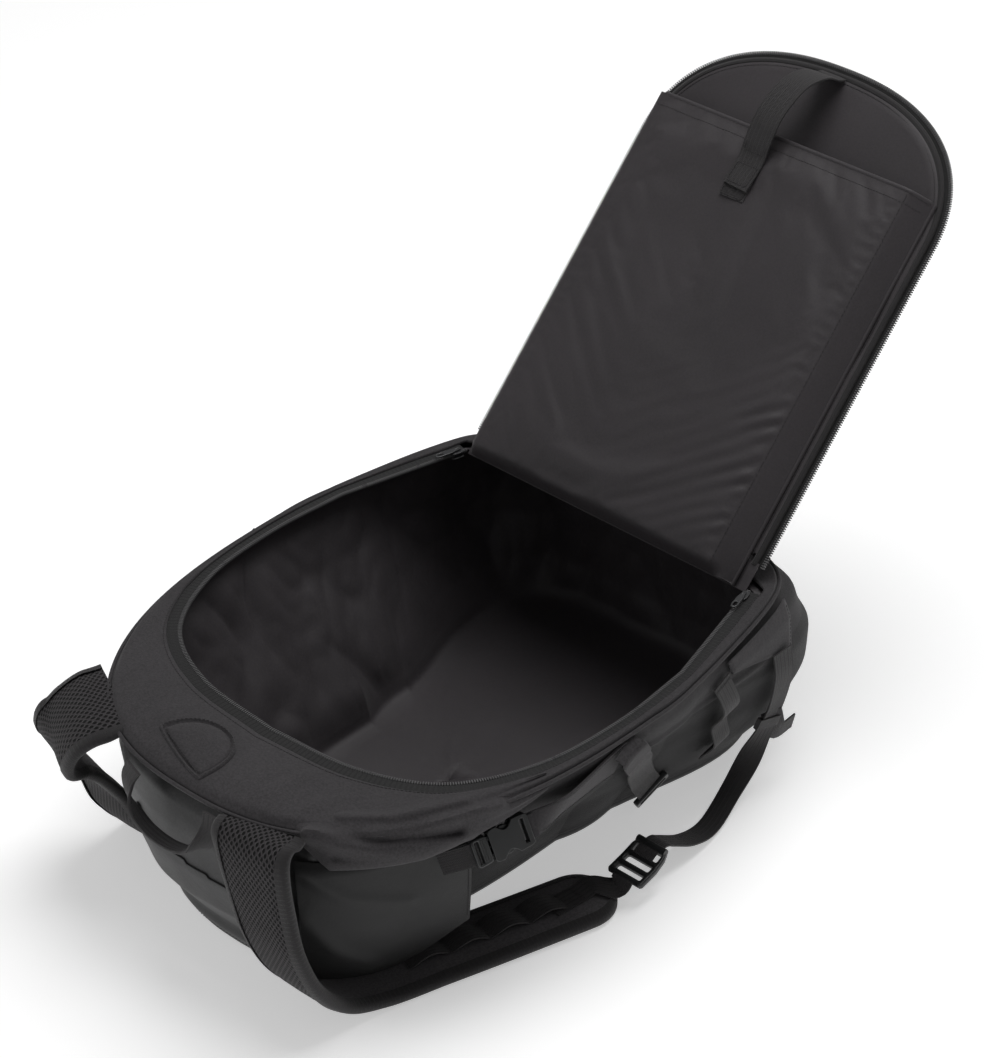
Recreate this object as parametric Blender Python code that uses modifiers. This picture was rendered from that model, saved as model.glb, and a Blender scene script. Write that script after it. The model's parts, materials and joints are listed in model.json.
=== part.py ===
"""Travel backpack lying on its front, with its back panel opened like a lid.

Metres, +Z up. The origin is on the floor under the middle of the front panel. +Y runs from the head
end of the bag, where the shoulder straps start, to its foot end, where the lid is hinged. +X is the
side that faces right when the bag is seen from its head end.
"""

import math

import bmesh
import bpy
import numpy as np
from mathutils import Matrix, Vector

# ---- driving dimensions -------------------------------------------------------------------------
SIDES = {"right": 1, "left": -1}
GAP = 0.0005  # clearance between pieces that touch

FRONT_THICK = 0.010  # padded front panel, flat on the floor
WALL_THICK = 0.004
LINING_THICK = 0.0012
LINING_GAP = 0.004  # the lining hangs loose inside the wall, and looser at its floor
YOKE_THICK = 0.003
RIM_Z = 0.186  # top of the fabric around the opening
MIDDLE_Y = 0.013
HEAD_POWER = 2.5  # squareness of the bag's plan view at its head end, and at its foot end
FOOT_POWER = 6.0

# Outer face of the wall, from the seam down: (z, head end y, foot end y, half width, half width at the foot)
WALL_LEVELS = (
    (0.1815, -0.297, 0.252, 0.2095, 0.187),
    (0.166, -0.262, 0.270, 0.208, 0.194),
    (0.130, -0.260, 0.287, 0.190, 0.201),
    (0.090, -0.257, 0.293, 0.160, 0.194),
    (0.050, -0.250, 0.292, 0.132, 0.176),
    (FRONT_THICK + GAP, -0.238, 0.280, 0.112, 0.146),
)
# Outer face of the roll-top flap, which wraps the head end below the seam
FLAP_LEVELS = (
    (0.160, -0.289, 0.276, 0.208, 0.203),
    (0.130, -0.293, 0.290, 0.208, 0.208),
    (0.090, -0.290, 0.295, 0.202, 0.196),
    (0.055, -0.280, 0.293, 0.186, 0.176),
    (0.026, -0.262, 0.280, 0.164, 0.146),
)
FLAP_HALF_ANGLE = 47.0  # how far round each side of the head end it reaches, in degrees

# Zip line of the opening: a curve round the head end, then straight to the hinge corner
OPENING_CURVE = (
    (0.0, -0.203), (0.085, -0.194), (0.150, -0.160), (0.186, -0.092), (0.196, -0.010), (0.1915, 0.070),
)
OPENING_CORNER = (0.160, 0.195)
ZIP_TAPE = 0.0065  # width of zip tape beside the teeth
TEETH_R = 0.0017

HINGE_Y = 0.200
HINGE_Z = 0.190
LID_RISE = 45.2  # the open lid's slope above the horizontal, in degrees
LID_HALF = 0.160
LID_LENGTH = 0.434
LID_ROUND = 0.120  # length of its rounded end
LID_FOOT = 0.016  # the lid's stiff layers start this far from the hinge
LID_ZIP_Z = -0.003
SLEEVE_HALF = 0.145
SLEEVE_TOP = 0.345
SLEEVE_FOOT = -0.008  # its padded foot reaches past the hinge
SLEEVE_DEPTH = 0.024
SLEEVE_WALL = 0.0035
SLEEVE_GUSSET = 0.008

PAD_THICK = 0.012
WEBBING = 0.0016  # thickness of woven straps
STRAP_WEB_WIDTH = 0.020
PORT_X = -0.019
PORT_SEAM_Y = -0.287
PORT_HALF = 0.034
PORT_DEPTH = 0.055


# ---- scene and materials ------------------------------------------------------------------------
def clear_scene():
    for old in list(bpy.data.objects):
        bpy.data.objects.remove(old)


def collection(name, hidden=False):
    made = bpy.data.collections.new(name)
    made.hide_render = hidden
    bpy.context.scene.collection.children.link(made)
    return made


def material(name, colour, roughness, metallic=0.0):
    made = bpy.data.materials.new(name)
    made.use_nodes = True
    shader = made.node_tree.nodes["Principled BSDF"]
    shader.inputs["Base Color"].default_value = (*colour, 1.0)
    shader.inputs["Roughness"].default_value = roughness
    shader.inputs["Metallic"].default_value = metallic
    return made


clear_scene()
PARTS = collection("travel_backpack")
CUTTERS = collection("cutters", hidden=True)
CANVAS = material("canvas", (0.043, 0.041, 0.043), 0.85)
COATED = material("coated_fabric", (0.033, 0.034, 0.033), 0.6)
LINING = material("lining", (0.050, 0.045, 0.047), 0.55)
MESH_FABRIC = material("spacer_mesh", (0.036, 0.033, 0.034), 0.9)
WEB = material("webbing", (0.034, 0.031, 0.033), 0.8)
FOAM = material("foam", (0.06, 0.06, 0.06), 0.9)
PLASTIC = material("acetal_plastic", (0.030, 0.031, 0.032), 0.35)
ZIP = material("zip_nylon", (0.035, 0.034, 0.035), 0.5)
BOARD = material("polyethylene_board", (0.05, 0.05, 0.05), 0.5)


# ---- shape helpers ------------------------------------------------------------------------------
def add_object(name, data, look, parent=None, into=PARTS):
    made = bpy.data.objects.new(name, data)
    into.objects.link(made)
    made.parent = parent
    if look:
        data.materials.append(look)
    return made


def mesh_object(name, points, faces, look, parent=None, up=False, into=PARTS):
    """A mesh whose normals point outwards, or upwards on an open surface with up set."""
    data = bpy.data.meshes.new(name)
    data.from_pydata([tuple(map(float, p)) for p in points], [], faces)
    clean = bmesh.new()
    clean.from_mesh(data)
    bmesh.ops.recalc_face_normals(clean, faces=clean.faces)
    if up and sum(face.calc_area() * face.normal.z for face in clean.faces) < 0:
        bmesh.ops.reverse_faces(clean, faces=clean.faces)
    clean.to_mesh(data)
    clean.free()
    data.shade_smooth()
    data.set_sharp_from_angle(angle=math.radians(40))
    return add_object(name, data, look, parent, into)


def pivot(name, place, rotation=(0.0, 0.0, 0.0), parent=None):
    """An empty on a joint's axis, which carries the pieces that turn or slide there."""
    made = bpy.data.objects.new(name, None)
    PARTS.objects.link(made)
    made.location = place
    made.rotation_euler = rotation
    made.parent = parent
    return made


def box(name, low, high, look, parent=None, bevel=0.0, into=PARTS):
    low, high = Vector(low), Vector(high)
    shape = bmesh.new()
    bmesh.ops.create_cube(shape, size=1.0)
    bmesh.ops.scale(shape, vec=high - low, verts=shape.verts)
    bmesh.ops.translate(shape, vec=(low + high) / 2, verts=shape.verts)
    data = bpy.data.meshes.new(name)
    shape.to_mesh(data)
    shape.free()
    made = add_object(name, data, look, parent, into)
    if bevel:
        rounded = made.modifiers.new("rounded_edges", "BEVEL")
        rounded.width = bevel
        rounded.segments = 1
    return made


def cut(target, tool):
    """Takes the tool's shape out of the target. The tool stays as a hidden guide."""
    tool.hide_render = True
    tool.display_type = "WIRE"
    hole = target.modifiers.new("cut_" + tool.name, "BOOLEAN")
    hole.operation = "DIFFERENCE"
    hole.solver = "EXACT"
    hole.object = tool
    return target


def thicken(made, thickness):
    """Turns an open surface into a shell that grows inwards from its outer face."""
    shell = made.modifiers.new("thickness", "SOLIDIFY")
    shell.thickness = thickness
    shell.offset = -1.0
    shell.use_even_offset = True
    return made


def spline(points, steps):
    """A smooth curve through the points (Catmull-Rom), with that many steps between two of them."""
    p = np.array(points, float)
    p = np.vstack([2 * p[0] - p[1], p, 2 * p[-1] - p[-2]])
    curve = []
    for before, start, end, after in zip(p, p[1:], p[2:], p[3:]):
        for t in np.linspace(0, 1, steps, endpoint=False):
            curve.append(
                0.5 * (2 * start + (end - before) * t + (2 * before - 5 * start + 4 * end - after) * t**2)
                + 0.5 * (3 * start - before - 3 * end + after) * t**3
            )
    return np.array([*curve, p[-2]])


def unit(v):
    return v / np.linalg.norm(v, axis=-1, keepdims=True)


def sideways(path):
    """Unit vectors at right angles to a plan-view path, to its right."""
    along = unit(np.gradient(np.array(path, float), axis=0))
    return np.stack([along[:, 1], -along[:, 0]], axis=1)


def plate(name, outline, low, high, look, parent=None):
    """A flat piece with that plan outline between two heights, from a filled 2D curve."""
    data = bpy.data.curves.new(name, "CURVE")
    data.dimensions = "2D"
    data.fill_mode = "BOTH"
    data.extrude = (high - low) / 2
    line = data.splines.new("POLY")
    line.points.add(len(outline) - 1)
    for point, (x, y) in zip(line.points, outline):
        point.co = (x, y, 0.0, 1.0)
    line.use_cyclic_u = True
    made = add_object(name, data, look, parent)
    made.location.z = (low + high) / 2
    return made


SQUARE = ((-1, -1), (1, -1), (1, 1), (-1, 1))
CUSHION = ((-1, -0.45), (-0.86, -1), (0.86, -1), (1, -0.45), (1, 0.45), (0.86, 1), (-0.86, 1), (-1, 0.45))


def sweep(name, path, across, half_widths, half_thick, look, section=SQUARE, parent=None, origin=(0, 0, 0)):
    """A strap: the section drawn out along a path, its width along `across` at each point."""
    path = np.array(path, float) - np.array(origin, float)
    along = unit(np.gradient(path, axis=0))
    across = np.broadcast_to(np.array(across, float), path.shape)
    across = unit(across - along * (across * along).sum(1, keepdims=True))
    normal = np.cross(across, along)
    half_widths = np.broadcast_to(half_widths, len(path))
    count = len(section)
    points = [
        centre + side * u * half + up * v * half_thick
        for centre, side, up, half in zip(path, across, normal, half_widths)
        for u, v in section
    ]
    faces = [
        (i * count + j, i * count + (j + 1) % count, (i + 1) * count + (j + 1) % count, (i + 1) * count + j)
        for i in range(len(path) - 1)
        for j in range(count)
    ]
    last = (len(path) - 1) * count
    faces += [tuple(range(count)), tuple(last + j for j in range(count))]
    return mesh_object(name, points, faces, look, parent)


def ring_faces(rings, count, closed=True):
    """Quads between neighbouring rings of `count` points each."""
    stops = count if closed else count - 1
    return [
        (r * count + i, r * count + (i + 1) % count, (r + 1) * count + (i + 1) % count, (r + 1) * count + i)
        for r in range(rings - 1)
        for i in range(stops)
    ]


def slab(name, inner, outer, look, parent=None):
    """A thick patch between an inner and an outer grid of points, closed along its four edges."""
    rows, columns = inner.shape[:2]
    points = np.concatenate([inner.reshape(-1, 3), outer.reshape(-1, 3)])
    faces = ring_faces(rows, columns, closed=False)
    second = rows * columns
    faces += [tuple(second + i for i in face) for face in faces]
    top = list(range(columns))
    right = [r * columns + columns - 1 for r in range(1, rows)]
    bottom = [(rows - 1) * columns + c for c in range(columns - 2, -1, -1)]
    left = [r * columns for r in range(rows - 2, 0, -1)]
    edge = top + right + bottom + left
    faces += [(a, b, second + b, second + a) for a, b in zip(edge, edge[1:] + edge[:1])]
    return mesh_object(name, points, faces, look, parent)


# ---- plan outlines ------------------------------------------------------------------------------
def level_outline(head, foot, half, foot_half, steps=193):
    """Half of the bag's plan outline at one height, from its head end round +X to its foot end."""
    turn = np.linspace(-math.pi / 2, math.pi / 2, steps)
    power = np.where(turn < 0, 2 / HEAD_POWER, 2 / FOOT_POWER)
    reach = np.where(turn < 0, MIDDLE_Y - head, foot - MIDDLE_Y)
    y = MIDDLE_Y + reach * np.sign(turn) * np.abs(np.sin(turn)) ** power
    blend = np.clip((y - 0.02) / 0.20, 0, 1)
    width = half + (foot_half - half) * blend**2 * (3 - 2 * blend)
    return np.stack([width * np.abs(np.cos(turn)) ** power, y], axis=1)


def opening_outline(offset=0.0, steps=6):
    """Half of the zip line, moved outwards by offset. It ends at the middle of the hinge side."""
    curve = spline(OPENING_CURVE, steps)
    curve[0, 0] = 0.0
    straight = np.array([OPENING_CORNER], float)
    path = np.vstack([curve, straight])
    moved = path + sideways(path) * offset
    moved[0] = (0.0, path[0, 1] - offset)
    side = unit(np.array(OPENING_CORNER) - np.array(OPENING_CURVE[-1]))
    corner = straight[0] + offset * np.array([side[1] + (1 + side[0]) * -side[0] / side[1], 1.0])
    return np.vstack([moved[:-1], corner, (0.0, corner[1])])


HINGE_CORNER_ANGLE = math.degrees(math.atan2(OPENING_CORNER[1], OPENING_CORNER[0]))
HALF_ANGLES = np.array(sorted([*np.linspace(-90, 90, 27), HINGE_CORNER_ANGLE, 47.5, 53.0, 58.5]))


def at_angles(outline, angles):
    """Where rays from the origin at those angles (degrees, from -90 to 90) cross a half outline."""
    heading = np.degrees(np.arctan2(outline[:, 1], outline[:, 0]))
    distance = np.interp(angles, heading, np.hypot(outline[:, 0], outline[:, 1]))
    turn = np.radians(angles)
    return np.stack([distance * np.cos(turn), distance * np.sin(turn)], axis=1)


def ring(outline, z):
    """The whole closed outline as points at height z, which may be a function of y."""
    right = at_angles(outline, HALF_ANGLES)
    right[[0, -1], 0] = 0.0
    left = right[-2:0:-1] * (-1, 1)
    plan = np.vstack([right, left])
    heights = z(plan[:, 1]) if callable(z) else np.full(len(plan), z)
    return np.column_stack([plan, heights])


def half_width(y, z):
    """Half width of the wall's outer face at that y and z."""
    levels = WALL_LEVELS[::-1]
    widths = []
    for _, head, foot, half, foot_half in levels:
        outline = level_outline(head, foot, half, foot_half)
        widths.append(np.interp(y, outline[:, 1], outline[:, 0]))
    return float(np.interp(z, [level[0] for level in levels], widths))


def on_wall(y, z, off, side=1):
    """A point that far outside the wall's face."""
    return (side * (half_width(y, z) + off), y, z)


def wall_patch(name, corners, off, thickness, look, side, rows=4, columns=5):
    """A piece that lies against the wall.

    Its corners are (y, z): upper head, upper foot, lower foot, lower head.
    """
    upper_head, upper_foot, lower_foot, lower_head = np.array(corners, float)
    layers = []
    for distance in (off, off + thickness):
        rows_made = []
        for v in np.linspace(0, 1, rows):
            start = upper_head + (lower_head - upper_head) * v
            end = upper_foot + (lower_foot - upper_foot) * v
            steps = np.linspace(0, 1, columns)
            rows_made.append([on_wall(*(start + (end - start) * u), distance, side) for u in steps])
        layers.append(np.array(rows_made))
    return slab(name, *layers, look)


# ---- the bag itself -----------------------------------------------------------------------------
def inset_ring(points, distance):
    """The ring moved inwards in plan, with its heights kept."""
    plan = points[:, :2]
    along = np.roll(plan, -1, axis=0) - np.roll(plan, 1, axis=0)
    inward = unit(np.stack([-along[:, 1], along[:, 0]], axis=1))
    return np.column_stack([plan + inward * distance, points[:, 2]])


def make_shell():
    rings = [ring(level_outline(*level[1:]), level[0]) for level in WALL_LEVELS]
    count = len(rings[0])
    inner = [inset_ring(points, WALL_THICK) for points in rings[::-1]]
    faces = ring_faces(2 * len(rings), count)
    last = (2 * len(rings) - 1) * count
    faces += [(i, (i + 1) % count, last + (i + 1) % count, last + i) for i in range(count)]
    mesh_object("side_wall", np.vstack(rings + inner), faces, CANVAS)

    floor = level_outline(*WALL_LEVELS[-1][1:])
    edge = ring(floor, 0.0)[:, :2] * 0.992
    plate("front_panel", edge, 0.0, FRONT_THICK, COATED)

    loose = np.linspace(LINING_GAP, 2 * LINING_GAP, len(rings) - 1)
    outer = [inset_ring(points, WALL_THICK + gap) for points, gap in zip(rings[1:], loose)]
    inner = [inset_ring(points, WALL_THICK + gap + LINING_THICK) for points, gap in zip(rings[1:], loose)]
    outer[-1][:, 2] = FRONT_THICK + 2 * GAP
    inner[-1][:, 2] = FRONT_THICK + 2 * GAP + LINING_THICK
    levels = len(outer)
    faces = ring_faces(levels, count)
    second = levels * count
    faces += [tuple(second + i for i in face) for face in faces]
    faces += [(i, (i + 1) % count, second + (i + 1) % count, second + i) for i in range(count)]
    last = (levels - 1) * count
    faces += [tuple(last + i for i in range(count)), tuple(second + last + i for i in range(count))]
    mesh_object("bag_lining", np.vstack(outer + inner), faces, LINING)


def make_yoke():
    inner = ring(opening_outline(ZIP_TAPE + TEETH_R), RIM_Z)
    seam = ring(level_outline(*WALL_LEVELS[0][1:]), RIM_Z - 0.0010)
    middle = (inner + seam) / 2
    rings = [inner, middle, seam]
    yoke = mesh_object("yoke_panel", np.vstack(rings), ring_faces(3, len(seam)), CANVAS, up=True)
    thicken(yoke, YOKE_THICK)
    return seam


def make_piping(seam, radius=0.002):
    """The corded seam between the yoke and the wall."""
    plan = seam[:, :2] * (1 + (radius + 2 * GAP) / np.linalg.norm(seam[:, :2], axis=1, keepdims=True))
    data = bpy.data.curves.new("seam_piping", "CURVE")
    data.dimensions = "3D"
    data.bevel_depth = radius
    data.bevel_resolution = 1
    line = data.splines.new("POLY")
    line.points.add(len(plan) - 1)
    for point, (x, y), z in zip(line.points, plan, seam[:, 2]):
        point.co = (x, y, z - radius, 1.0)
    line.use_cyclic_u = True
    add_object("seam_piping", data, CANVAS)


def make_port():
    """The half-round reinforced patch on the yoke, its straight side along the seam."""
    turn = np.linspace(0, math.pi, 13)
    x = PORT_X + PORT_HALF * np.cos(turn)
    y = PORT_SEAM_Y + PORT_DEPTH * np.sin(turn).clip(0) ** 0.8
    made = plate("port_patch", np.stack([x, y], axis=1), 0.0, 0.0012, CANVAS)
    made.location.z = RIM_Z + 0.0012


FLAP_GAP = 0.0028  # between the wall and the flap's inner face


def make_flap():
    """The roll-top's folded flap, wrapped round the head end under the seam."""
    angles = np.linspace(-90 - FLAP_HALF_ANGLE, -90 + FLAP_HALF_ANGLE, 17)
    tilt = np.abs(angles + 90) / FLAP_HALF_ANGLE

    def row(levels, z, grow):
        heights = [level[0] for level in levels[::-1]]
        numbers = [np.interp(z, heights, [level[k] for level in levels[::-1]]) for k in range(1, 5)]
        half = level_outline(*numbers)
        mirrored = np.where(angles < -90, -180 - angles, angles)
        plan = at_angles(half, mirrored) * np.where(angles < -90, -1, 1)[:, None] ** np.array([1, 0])
        return plan * (1 + grow / np.linalg.norm(plan, axis=1, keepdims=True))

    inner, outer = [], []
    for v in np.linspace(0, 1, 6):
        # the lower edge climbs towards the two ends, from near the floor to the middle of the wall
        low = 0.026 + 0.050 * np.clip((tilt - 0.62) / 0.38, 0, 1) ** 1.5
        z = 0.160 + (low - 0.160) * v
        thin = np.clip((1 - tilt) / 0.12, 0.25, 1)[:, None]
        near = np.array([row(WALL_LEVELS, height, FLAP_GAP)[i] for i, height in enumerate(z)])
        full = np.array([row(FLAP_LEVELS, height, 0.0)[i] for i, height in enumerate(z)])
        far = near + (full - near) * thin
        inner.append(np.column_stack([near, z]))
        outer.append(np.column_stack([far, z]))
    slab("rolltop_flap", np.array(inner), np.array(outer), COATED)


# ---- zips ---------------------------------------------------------------------------------------
def zip_section():
    """Tape with a bead of teeth at its edge: (distance from the teeth line to the tape side, height)."""
    r = TEETH_R
    tape = 0.0005
    bead = ((0.5 * r, r), (-0.5 * r, r), (-r, 0), (-0.5 * r, -r), (0.5 * r, -r))
    return ((ZIP_TAPE, -tape), (ZIP_TAPE, tape), (r, tape), *bead, (r, -tape))


def zip_half(name, path, z, tape_side, parent=None):
    """A zip half along a plan-view path. tape_side is 1 where the tape lies to the path's right."""
    path = np.array(path, float)
    out = sideways(path) * tape_side
    section = zip_section()
    count = len(section)
    points = [(*(p + o * u), z + v) for p, o in zip(path, out) for u, v in section]
    faces = ring_faces(len(path), count)
    last = (len(path) - 1) * count
    faces += [tuple(range(count)), tuple(last + j for j in range(count))]
    return mesh_object(name, points, faces, ZIP, parent)


BODY_ZIP_Z = RIM_Z - 0.0006
# along the straight stretch, from the hinge
ZIP_RUN = unit(np.array(OPENING_CURVE[-1]) - np.array(OPENING_CORNER))
SLIDER_LENGTH = 0.012


def body_zip_path():
    half = opening_outline(0.0, steps=5)[:-1]
    half[-1] += ZIP_RUN * 0.003
    left = half[:0:-1] * (-1, 1)
    return np.vstack([left, half])


def make_slider(side):
    """A slider round the teeth near the hinge, and its pull, each on its own pivot."""
    name = "right" if side > 0 else "left"
    sign = np.array([side, 1.0])
    run = ZIP_RUN * sign
    start = np.array(OPENING_CORNER) * sign + run * (SLIDER_LENGTH / 2 + 0.004)
    turn = math.atan2(run[1], run[0])
    carrier = pivot(f"slider_pivot_{name}", (*start, BODY_ZIP_Z), (0, 0, turn))
    # local +X runs away from the hinge; `out` is the local Y sign of the tape side
    out = side
    half = SLIDER_LENGTH / 2
    low, high = sorted((-out * 0.0032, out * 0.0042))
    slider = box(f"zip_slider_{name}", (-half, low, -0.0030), (half, high, 0.0030), PLASTIC, carrier)
    low, high = sorted((-out * 0.0021, out * 0.02))
    reach = TEETH_R + 0.0003
    corners = (-0.02, low, -reach), (0.02, high, reach)
    teeth_way = box(f"cut_teeth_{name}", *corners, None, carrier, into=CUTTERS)
    cut(slider, teeth_way)
    swing = pivot(f"pull_pivot_{name}", (-0.002, 0, 0.0050), parent=carrier)
    pull = box(f"zip_pull_{name}", (-0.0015, -0.003, -0.0008), (0.024, 0.003, 0.0008), PLASTIC, swing)
    eye = box(f"cut_eye_{name}", (0.0155, -0.0014, -0.01), (0.0215, 0.0014, 0.01), None, swing, into=CUTTERS)
    cut(pull, eye)


# ---- lid ----------------------------------------------------------------------------------------
def lid_outline(inset=0.0, foot=0.0, steps=16):
    """The lid's closed outline in its own plane: straight sides and a rounded free end."""
    half = LID_HALF - inset
    reach = LID_LENGTH - inset
    shoulder = LID_LENGTH - LID_ROUND
    turn = np.linspace(0, math.pi, 2 * steps + 1)
    power = 2 / 2.35
    x = half * np.sign(np.cos(turn)) * np.abs(np.cos(turn)) ** power
    y = shoulder + (reach - shoulder) * np.sin(turn).clip(0) ** power
    round_end = np.stack([x, y], axis=1)
    return np.vstack([[(half, foot)], round_end, [(-half, foot)]])


def make_lid():
    lid = pivot("lid_pivot", (0, HINGE_Y, HINGE_Z), (math.radians(LID_RISE), 0, 0))
    plate("lid_back_foam", lid_outline(0.0105, LID_FOOT), -0.0120, -0.0042, FOAM, lid)
    plate("lid_frame_sheet", lid_outline(0.0125, LID_FOOT + 0.004), -0.0038, -0.0022, BOARD, lid)
    plate("lid_lining", lid_outline(0.0015, LID_FOOT), -0.0018, -0.0002, LINING, lid)
    box("lid_hinge_tape", (-0.155, 0.002, -0.0032), (0.155, LID_FOOT - GAP, -0.0016), CANVAS, lid)
    path = lid_outline(0.0, LID_FOOT)
    zip_half("lid_zip", path, LID_ZIP_Z, -1, lid)

    # two raised cushions on the wearer's side, and a lumbar cushion across the foot
    for name, side in SIDES.items():
        low, high = sorted((side * 0.018, side * 0.128))
        corners = (low, 0.150, -0.021), (high, 0.370, -0.0124)
        box(f"back_cushion_{name}", *corners, MESH_FABRIC, lid, bevel=0.006)
    box("lumbar_cushion", (-0.128, 0.040, -0.023), (0.128, 0.132, -0.0124), MESH_FABRIC, lid, bevel=0.007)

    profile = (
        (LID_FOOT, 0.0002), (SLEEVE_TOP, 0.0002), (SLEEVE_TOP, SLEEVE_DEPTH),
        (SLEEVE_FOOT, SLEEVE_DEPTH), (SLEEVE_FOOT, 0.012),
    )
    points = [(side * SLEEVE_HALF, y, z) for side in (-1, 1) for y, z in profile]
    sides = len(profile)
    faces = [*ring_faces(2, sides), tuple(range(sides)), tuple(range(sides, 2 * sides))]
    sleeve = mesh_object("laptop_sleeve", points, faces, LINING, lid)
    inside = SLEEVE_HALF - SLEEVE_GUSSET
    low = (-inside, LID_FOOT + SLEEVE_GUSSET, -0.01)
    high = (inside, SLEEVE_TOP + 0.05, SLEEVE_DEPTH - SLEEVE_WALL)
    cut(sleeve, box("cut_pocket", low, high, None, lid, into=CUTTERS))
    loop_z = SLEEVE_DEPTH + GAP
    box("loop_patch", (-0.038, 0.288, loop_z), (-0.012, 0.338, loop_z + 0.0012), WEB, lid)
    return lid


def make_sleeve_strap(lid):
    """The hook-and-loop strap that holds the laptop in, arched from the lid's rounded end to the sleeve."""
    root = np.array([-0.006, 0.421, 0.0075])
    swing = pivot("sleeve_strap_pivot", root, parent=lid)
    rest = SLEEVE_DEPTH + 2 * GAP + 0.0012 + 0.0012
    points = (
        root, (-0.008, 0.414, 0.026), (-0.012, 0.396, 0.041), (-0.017, 0.366, 0.044),
        (-0.021, 0.341, 0.035), (-0.023, 0.324, rest), (-0.025, 0.298, rest),
    )
    sweep("sleeve_strap", spline(points, 3), (1, 0, 0), 0.0135, 0.0008, WEB, parent=swing, origin=root)


# ---- handle, shoulder straps and their hardware -------------------------------------------------
def make_handle():
    """A webbing loop sewn into the seam between the shoulder straps."""
    axis = np.array([-0.008, -0.3030, 0.1800])
    swing = pivot("handle_pivot", axis)
    points = (
        (-0.051, -0.3030, 0.1790), (-0.056, -0.3055, 0.166), (-0.051, -0.3090, 0.150),
        (-0.032, -0.3115, 0.137), (-0.006, -0.3120, 0.133), (0.017, -0.3115, 0.139),
        (0.030, -0.3090, 0.151), (0.036, -0.3055, 0.165), (0.036, -0.3030, 0.1790),
    )
    across = (
        (1, 0, 0), (1, -0.2, 0), (0.9, -0.7, 0), (0.3, -1, 0), (0, -1, 0),
        (-0.3, -1, 0), (-0.9, -0.7, 0), (-1, -0.2, 0), (-1, 0, 0),
    )
    path, across = spline(points, 3), spline(across, 3)
    sweep("top_handle", path, across, 0.008, WEBBING / 2, WEB, parent=swing, origin=axis)


PAD_PATH = {
    # down the head end, under its overhang and back along the floor beside the bag
    "right": (
        (0.083, -0.3045, 0.1790), (0.087, -0.3095, 0.164), (0.094, -0.3095, 0.130), (0.102, -0.3060, 0.090),
        (0.108, -0.2910, 0.050), (0.111, -0.264, 0.0200), (0.118, -0.226, 0.0075), (0.135, -0.172, 0.0065),
        (0.153, -0.118, 0.0065), (0.171, -0.062, 0.0065), (0.188, -0.008, 0.0065),
    ),
    # slantwise out past the head end, then folded under it
    "left": (
        (-0.1330, -0.2640, 0.1785), (-0.1430, -0.2745, 0.1690), (-0.1545, -0.2855, 0.1500),
        (-0.1590, -0.2880, 0.1290), (-0.1530, -0.2760, 0.1090), (-0.1500, -0.2640, 0.0900),
        (-0.1460, -0.2520, 0.0660), (-0.1420, -0.2380, 0.0380), (-0.1440, -0.2120, 0.0140),
        (-0.150, -0.168, 0.0065), (-0.159, -0.103, 0.0065), (-0.172, -0.022, 0.0065),
    ),
}
# the pad's width runs this way at its root, and along the rest
PAD_ACROSS = {"right": ((1.0, 0.02, 0), (1, 0, 0)), "left": ((-0.68, 0.73, 0), (-1, 0, 0))}
LOCK_PLACE = {"right": (0.1995, 0.012, 0.027), "left": (-0.1835, 0.000, 0.027)}
WING_FOOT = (0.190, 0.148)  # y and z where the lower webbing leaves the wing


def pad_half_width(share):
    """Half the pad's width along it: 34 mm at the root, slimmer under the arm, rounded at the end."""
    body = 0.034 - 0.003 * share
    end = np.sqrt(np.clip(1 - (np.clip(share - 0.93, 0, 1) / 0.07) ** 2, 0.16, 1))
    return body * end


def swing_axis(name):
    """The line through a shoulder strap's two anchors, about which the whole loop swings."""
    side = SIDES[name]
    root = np.array(PAD_PATH[name][0])
    wing = np.array(on_wall(*WING_FOOT, 0.0075, side))
    return root, unit(wing - root)


def make_shoulder_strap(name):
    side = SIDES[name]
    root, _ = swing_axis(name)
    swing = pivot(f"strap_pivot_{name}", root)
    path = spline(PAD_PATH[name], 3)
    share = np.concatenate([[0], np.cumsum(np.linalg.norm(np.diff(path, axis=0), axis=1))])
    share /= share[-1]
    half = pad_half_width(share)
    start, rest = np.array(PAD_ACROSS[name])
    across = start + (rest - start) * np.clip(share * 2.4, 0, 1)[:, None]
    sweep(f"shoulder_pad_{name}", path, across, half, PAD_THICK / 2, MESH_FABRIC, CUSHION, swing, root)

    # daisy chain: webbing along the pad's outer face, sewn down flat
    chosen = (share > 0.60) & (share < 0.93)
    lifted = path[chosen] + (0, 0, PAD_THICK / 2 + GAP + 0.0008)
    sweep(f"daisy_chain_{name}", lifted, (1, 0, 0), 0.011, 0.0008, WEB, parent=swing, origin=root)

    lock = np.array(LOCK_PLACE[name])
    end = path[chosen][-1] + (0, 0.004, PAD_THICK / 2 + GAP + 0.0008)
    loop = spline((end, end + (side * 0.003, 0.014, 0.002), lock + (-side * 0.002, -0.0245, -0.0100)), 3)
    sweep(f"pad_end_loop_{name}", loop, (1, 0, 0), 0.0105, 0.0008, WEB, parent=swing, origin=root)

    wing = np.array(on_wall(*WING_FOOT, 0.0075, side))
    points = (
        wing, on_wall(0.190, 0.125, 0.008, side), on_wall(0.190, 0.090, 0.009, side),
        (side * 0.187, 0.180, 0.045), (side * 0.186, 0.150, 0.014), (side * 0.195, 0.110, 0.005),
        lock + (0, 0.064, -0.013), lock + (0, 0.034, 0.0040),
    )
    lower = spline(points, 3)
    turning = ((0, 1, 0), (0, 1, 0), (0.1 * side, 1, 0.1), (0.5 * side, 0.8, 0.2), (side, 0.3, 0.1))
    across = spline((*turning, (side, 0, 0), (side, 0, 0), (side, 0, 0)), 3)
    half_section = STRAP_WEB_WIDTH / 2, WEBBING / 2
    sweep(f"lower_webbing_{name}", lower, across, *half_section, WEB, parent=swing, origin=root)
    return swing, root


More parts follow.
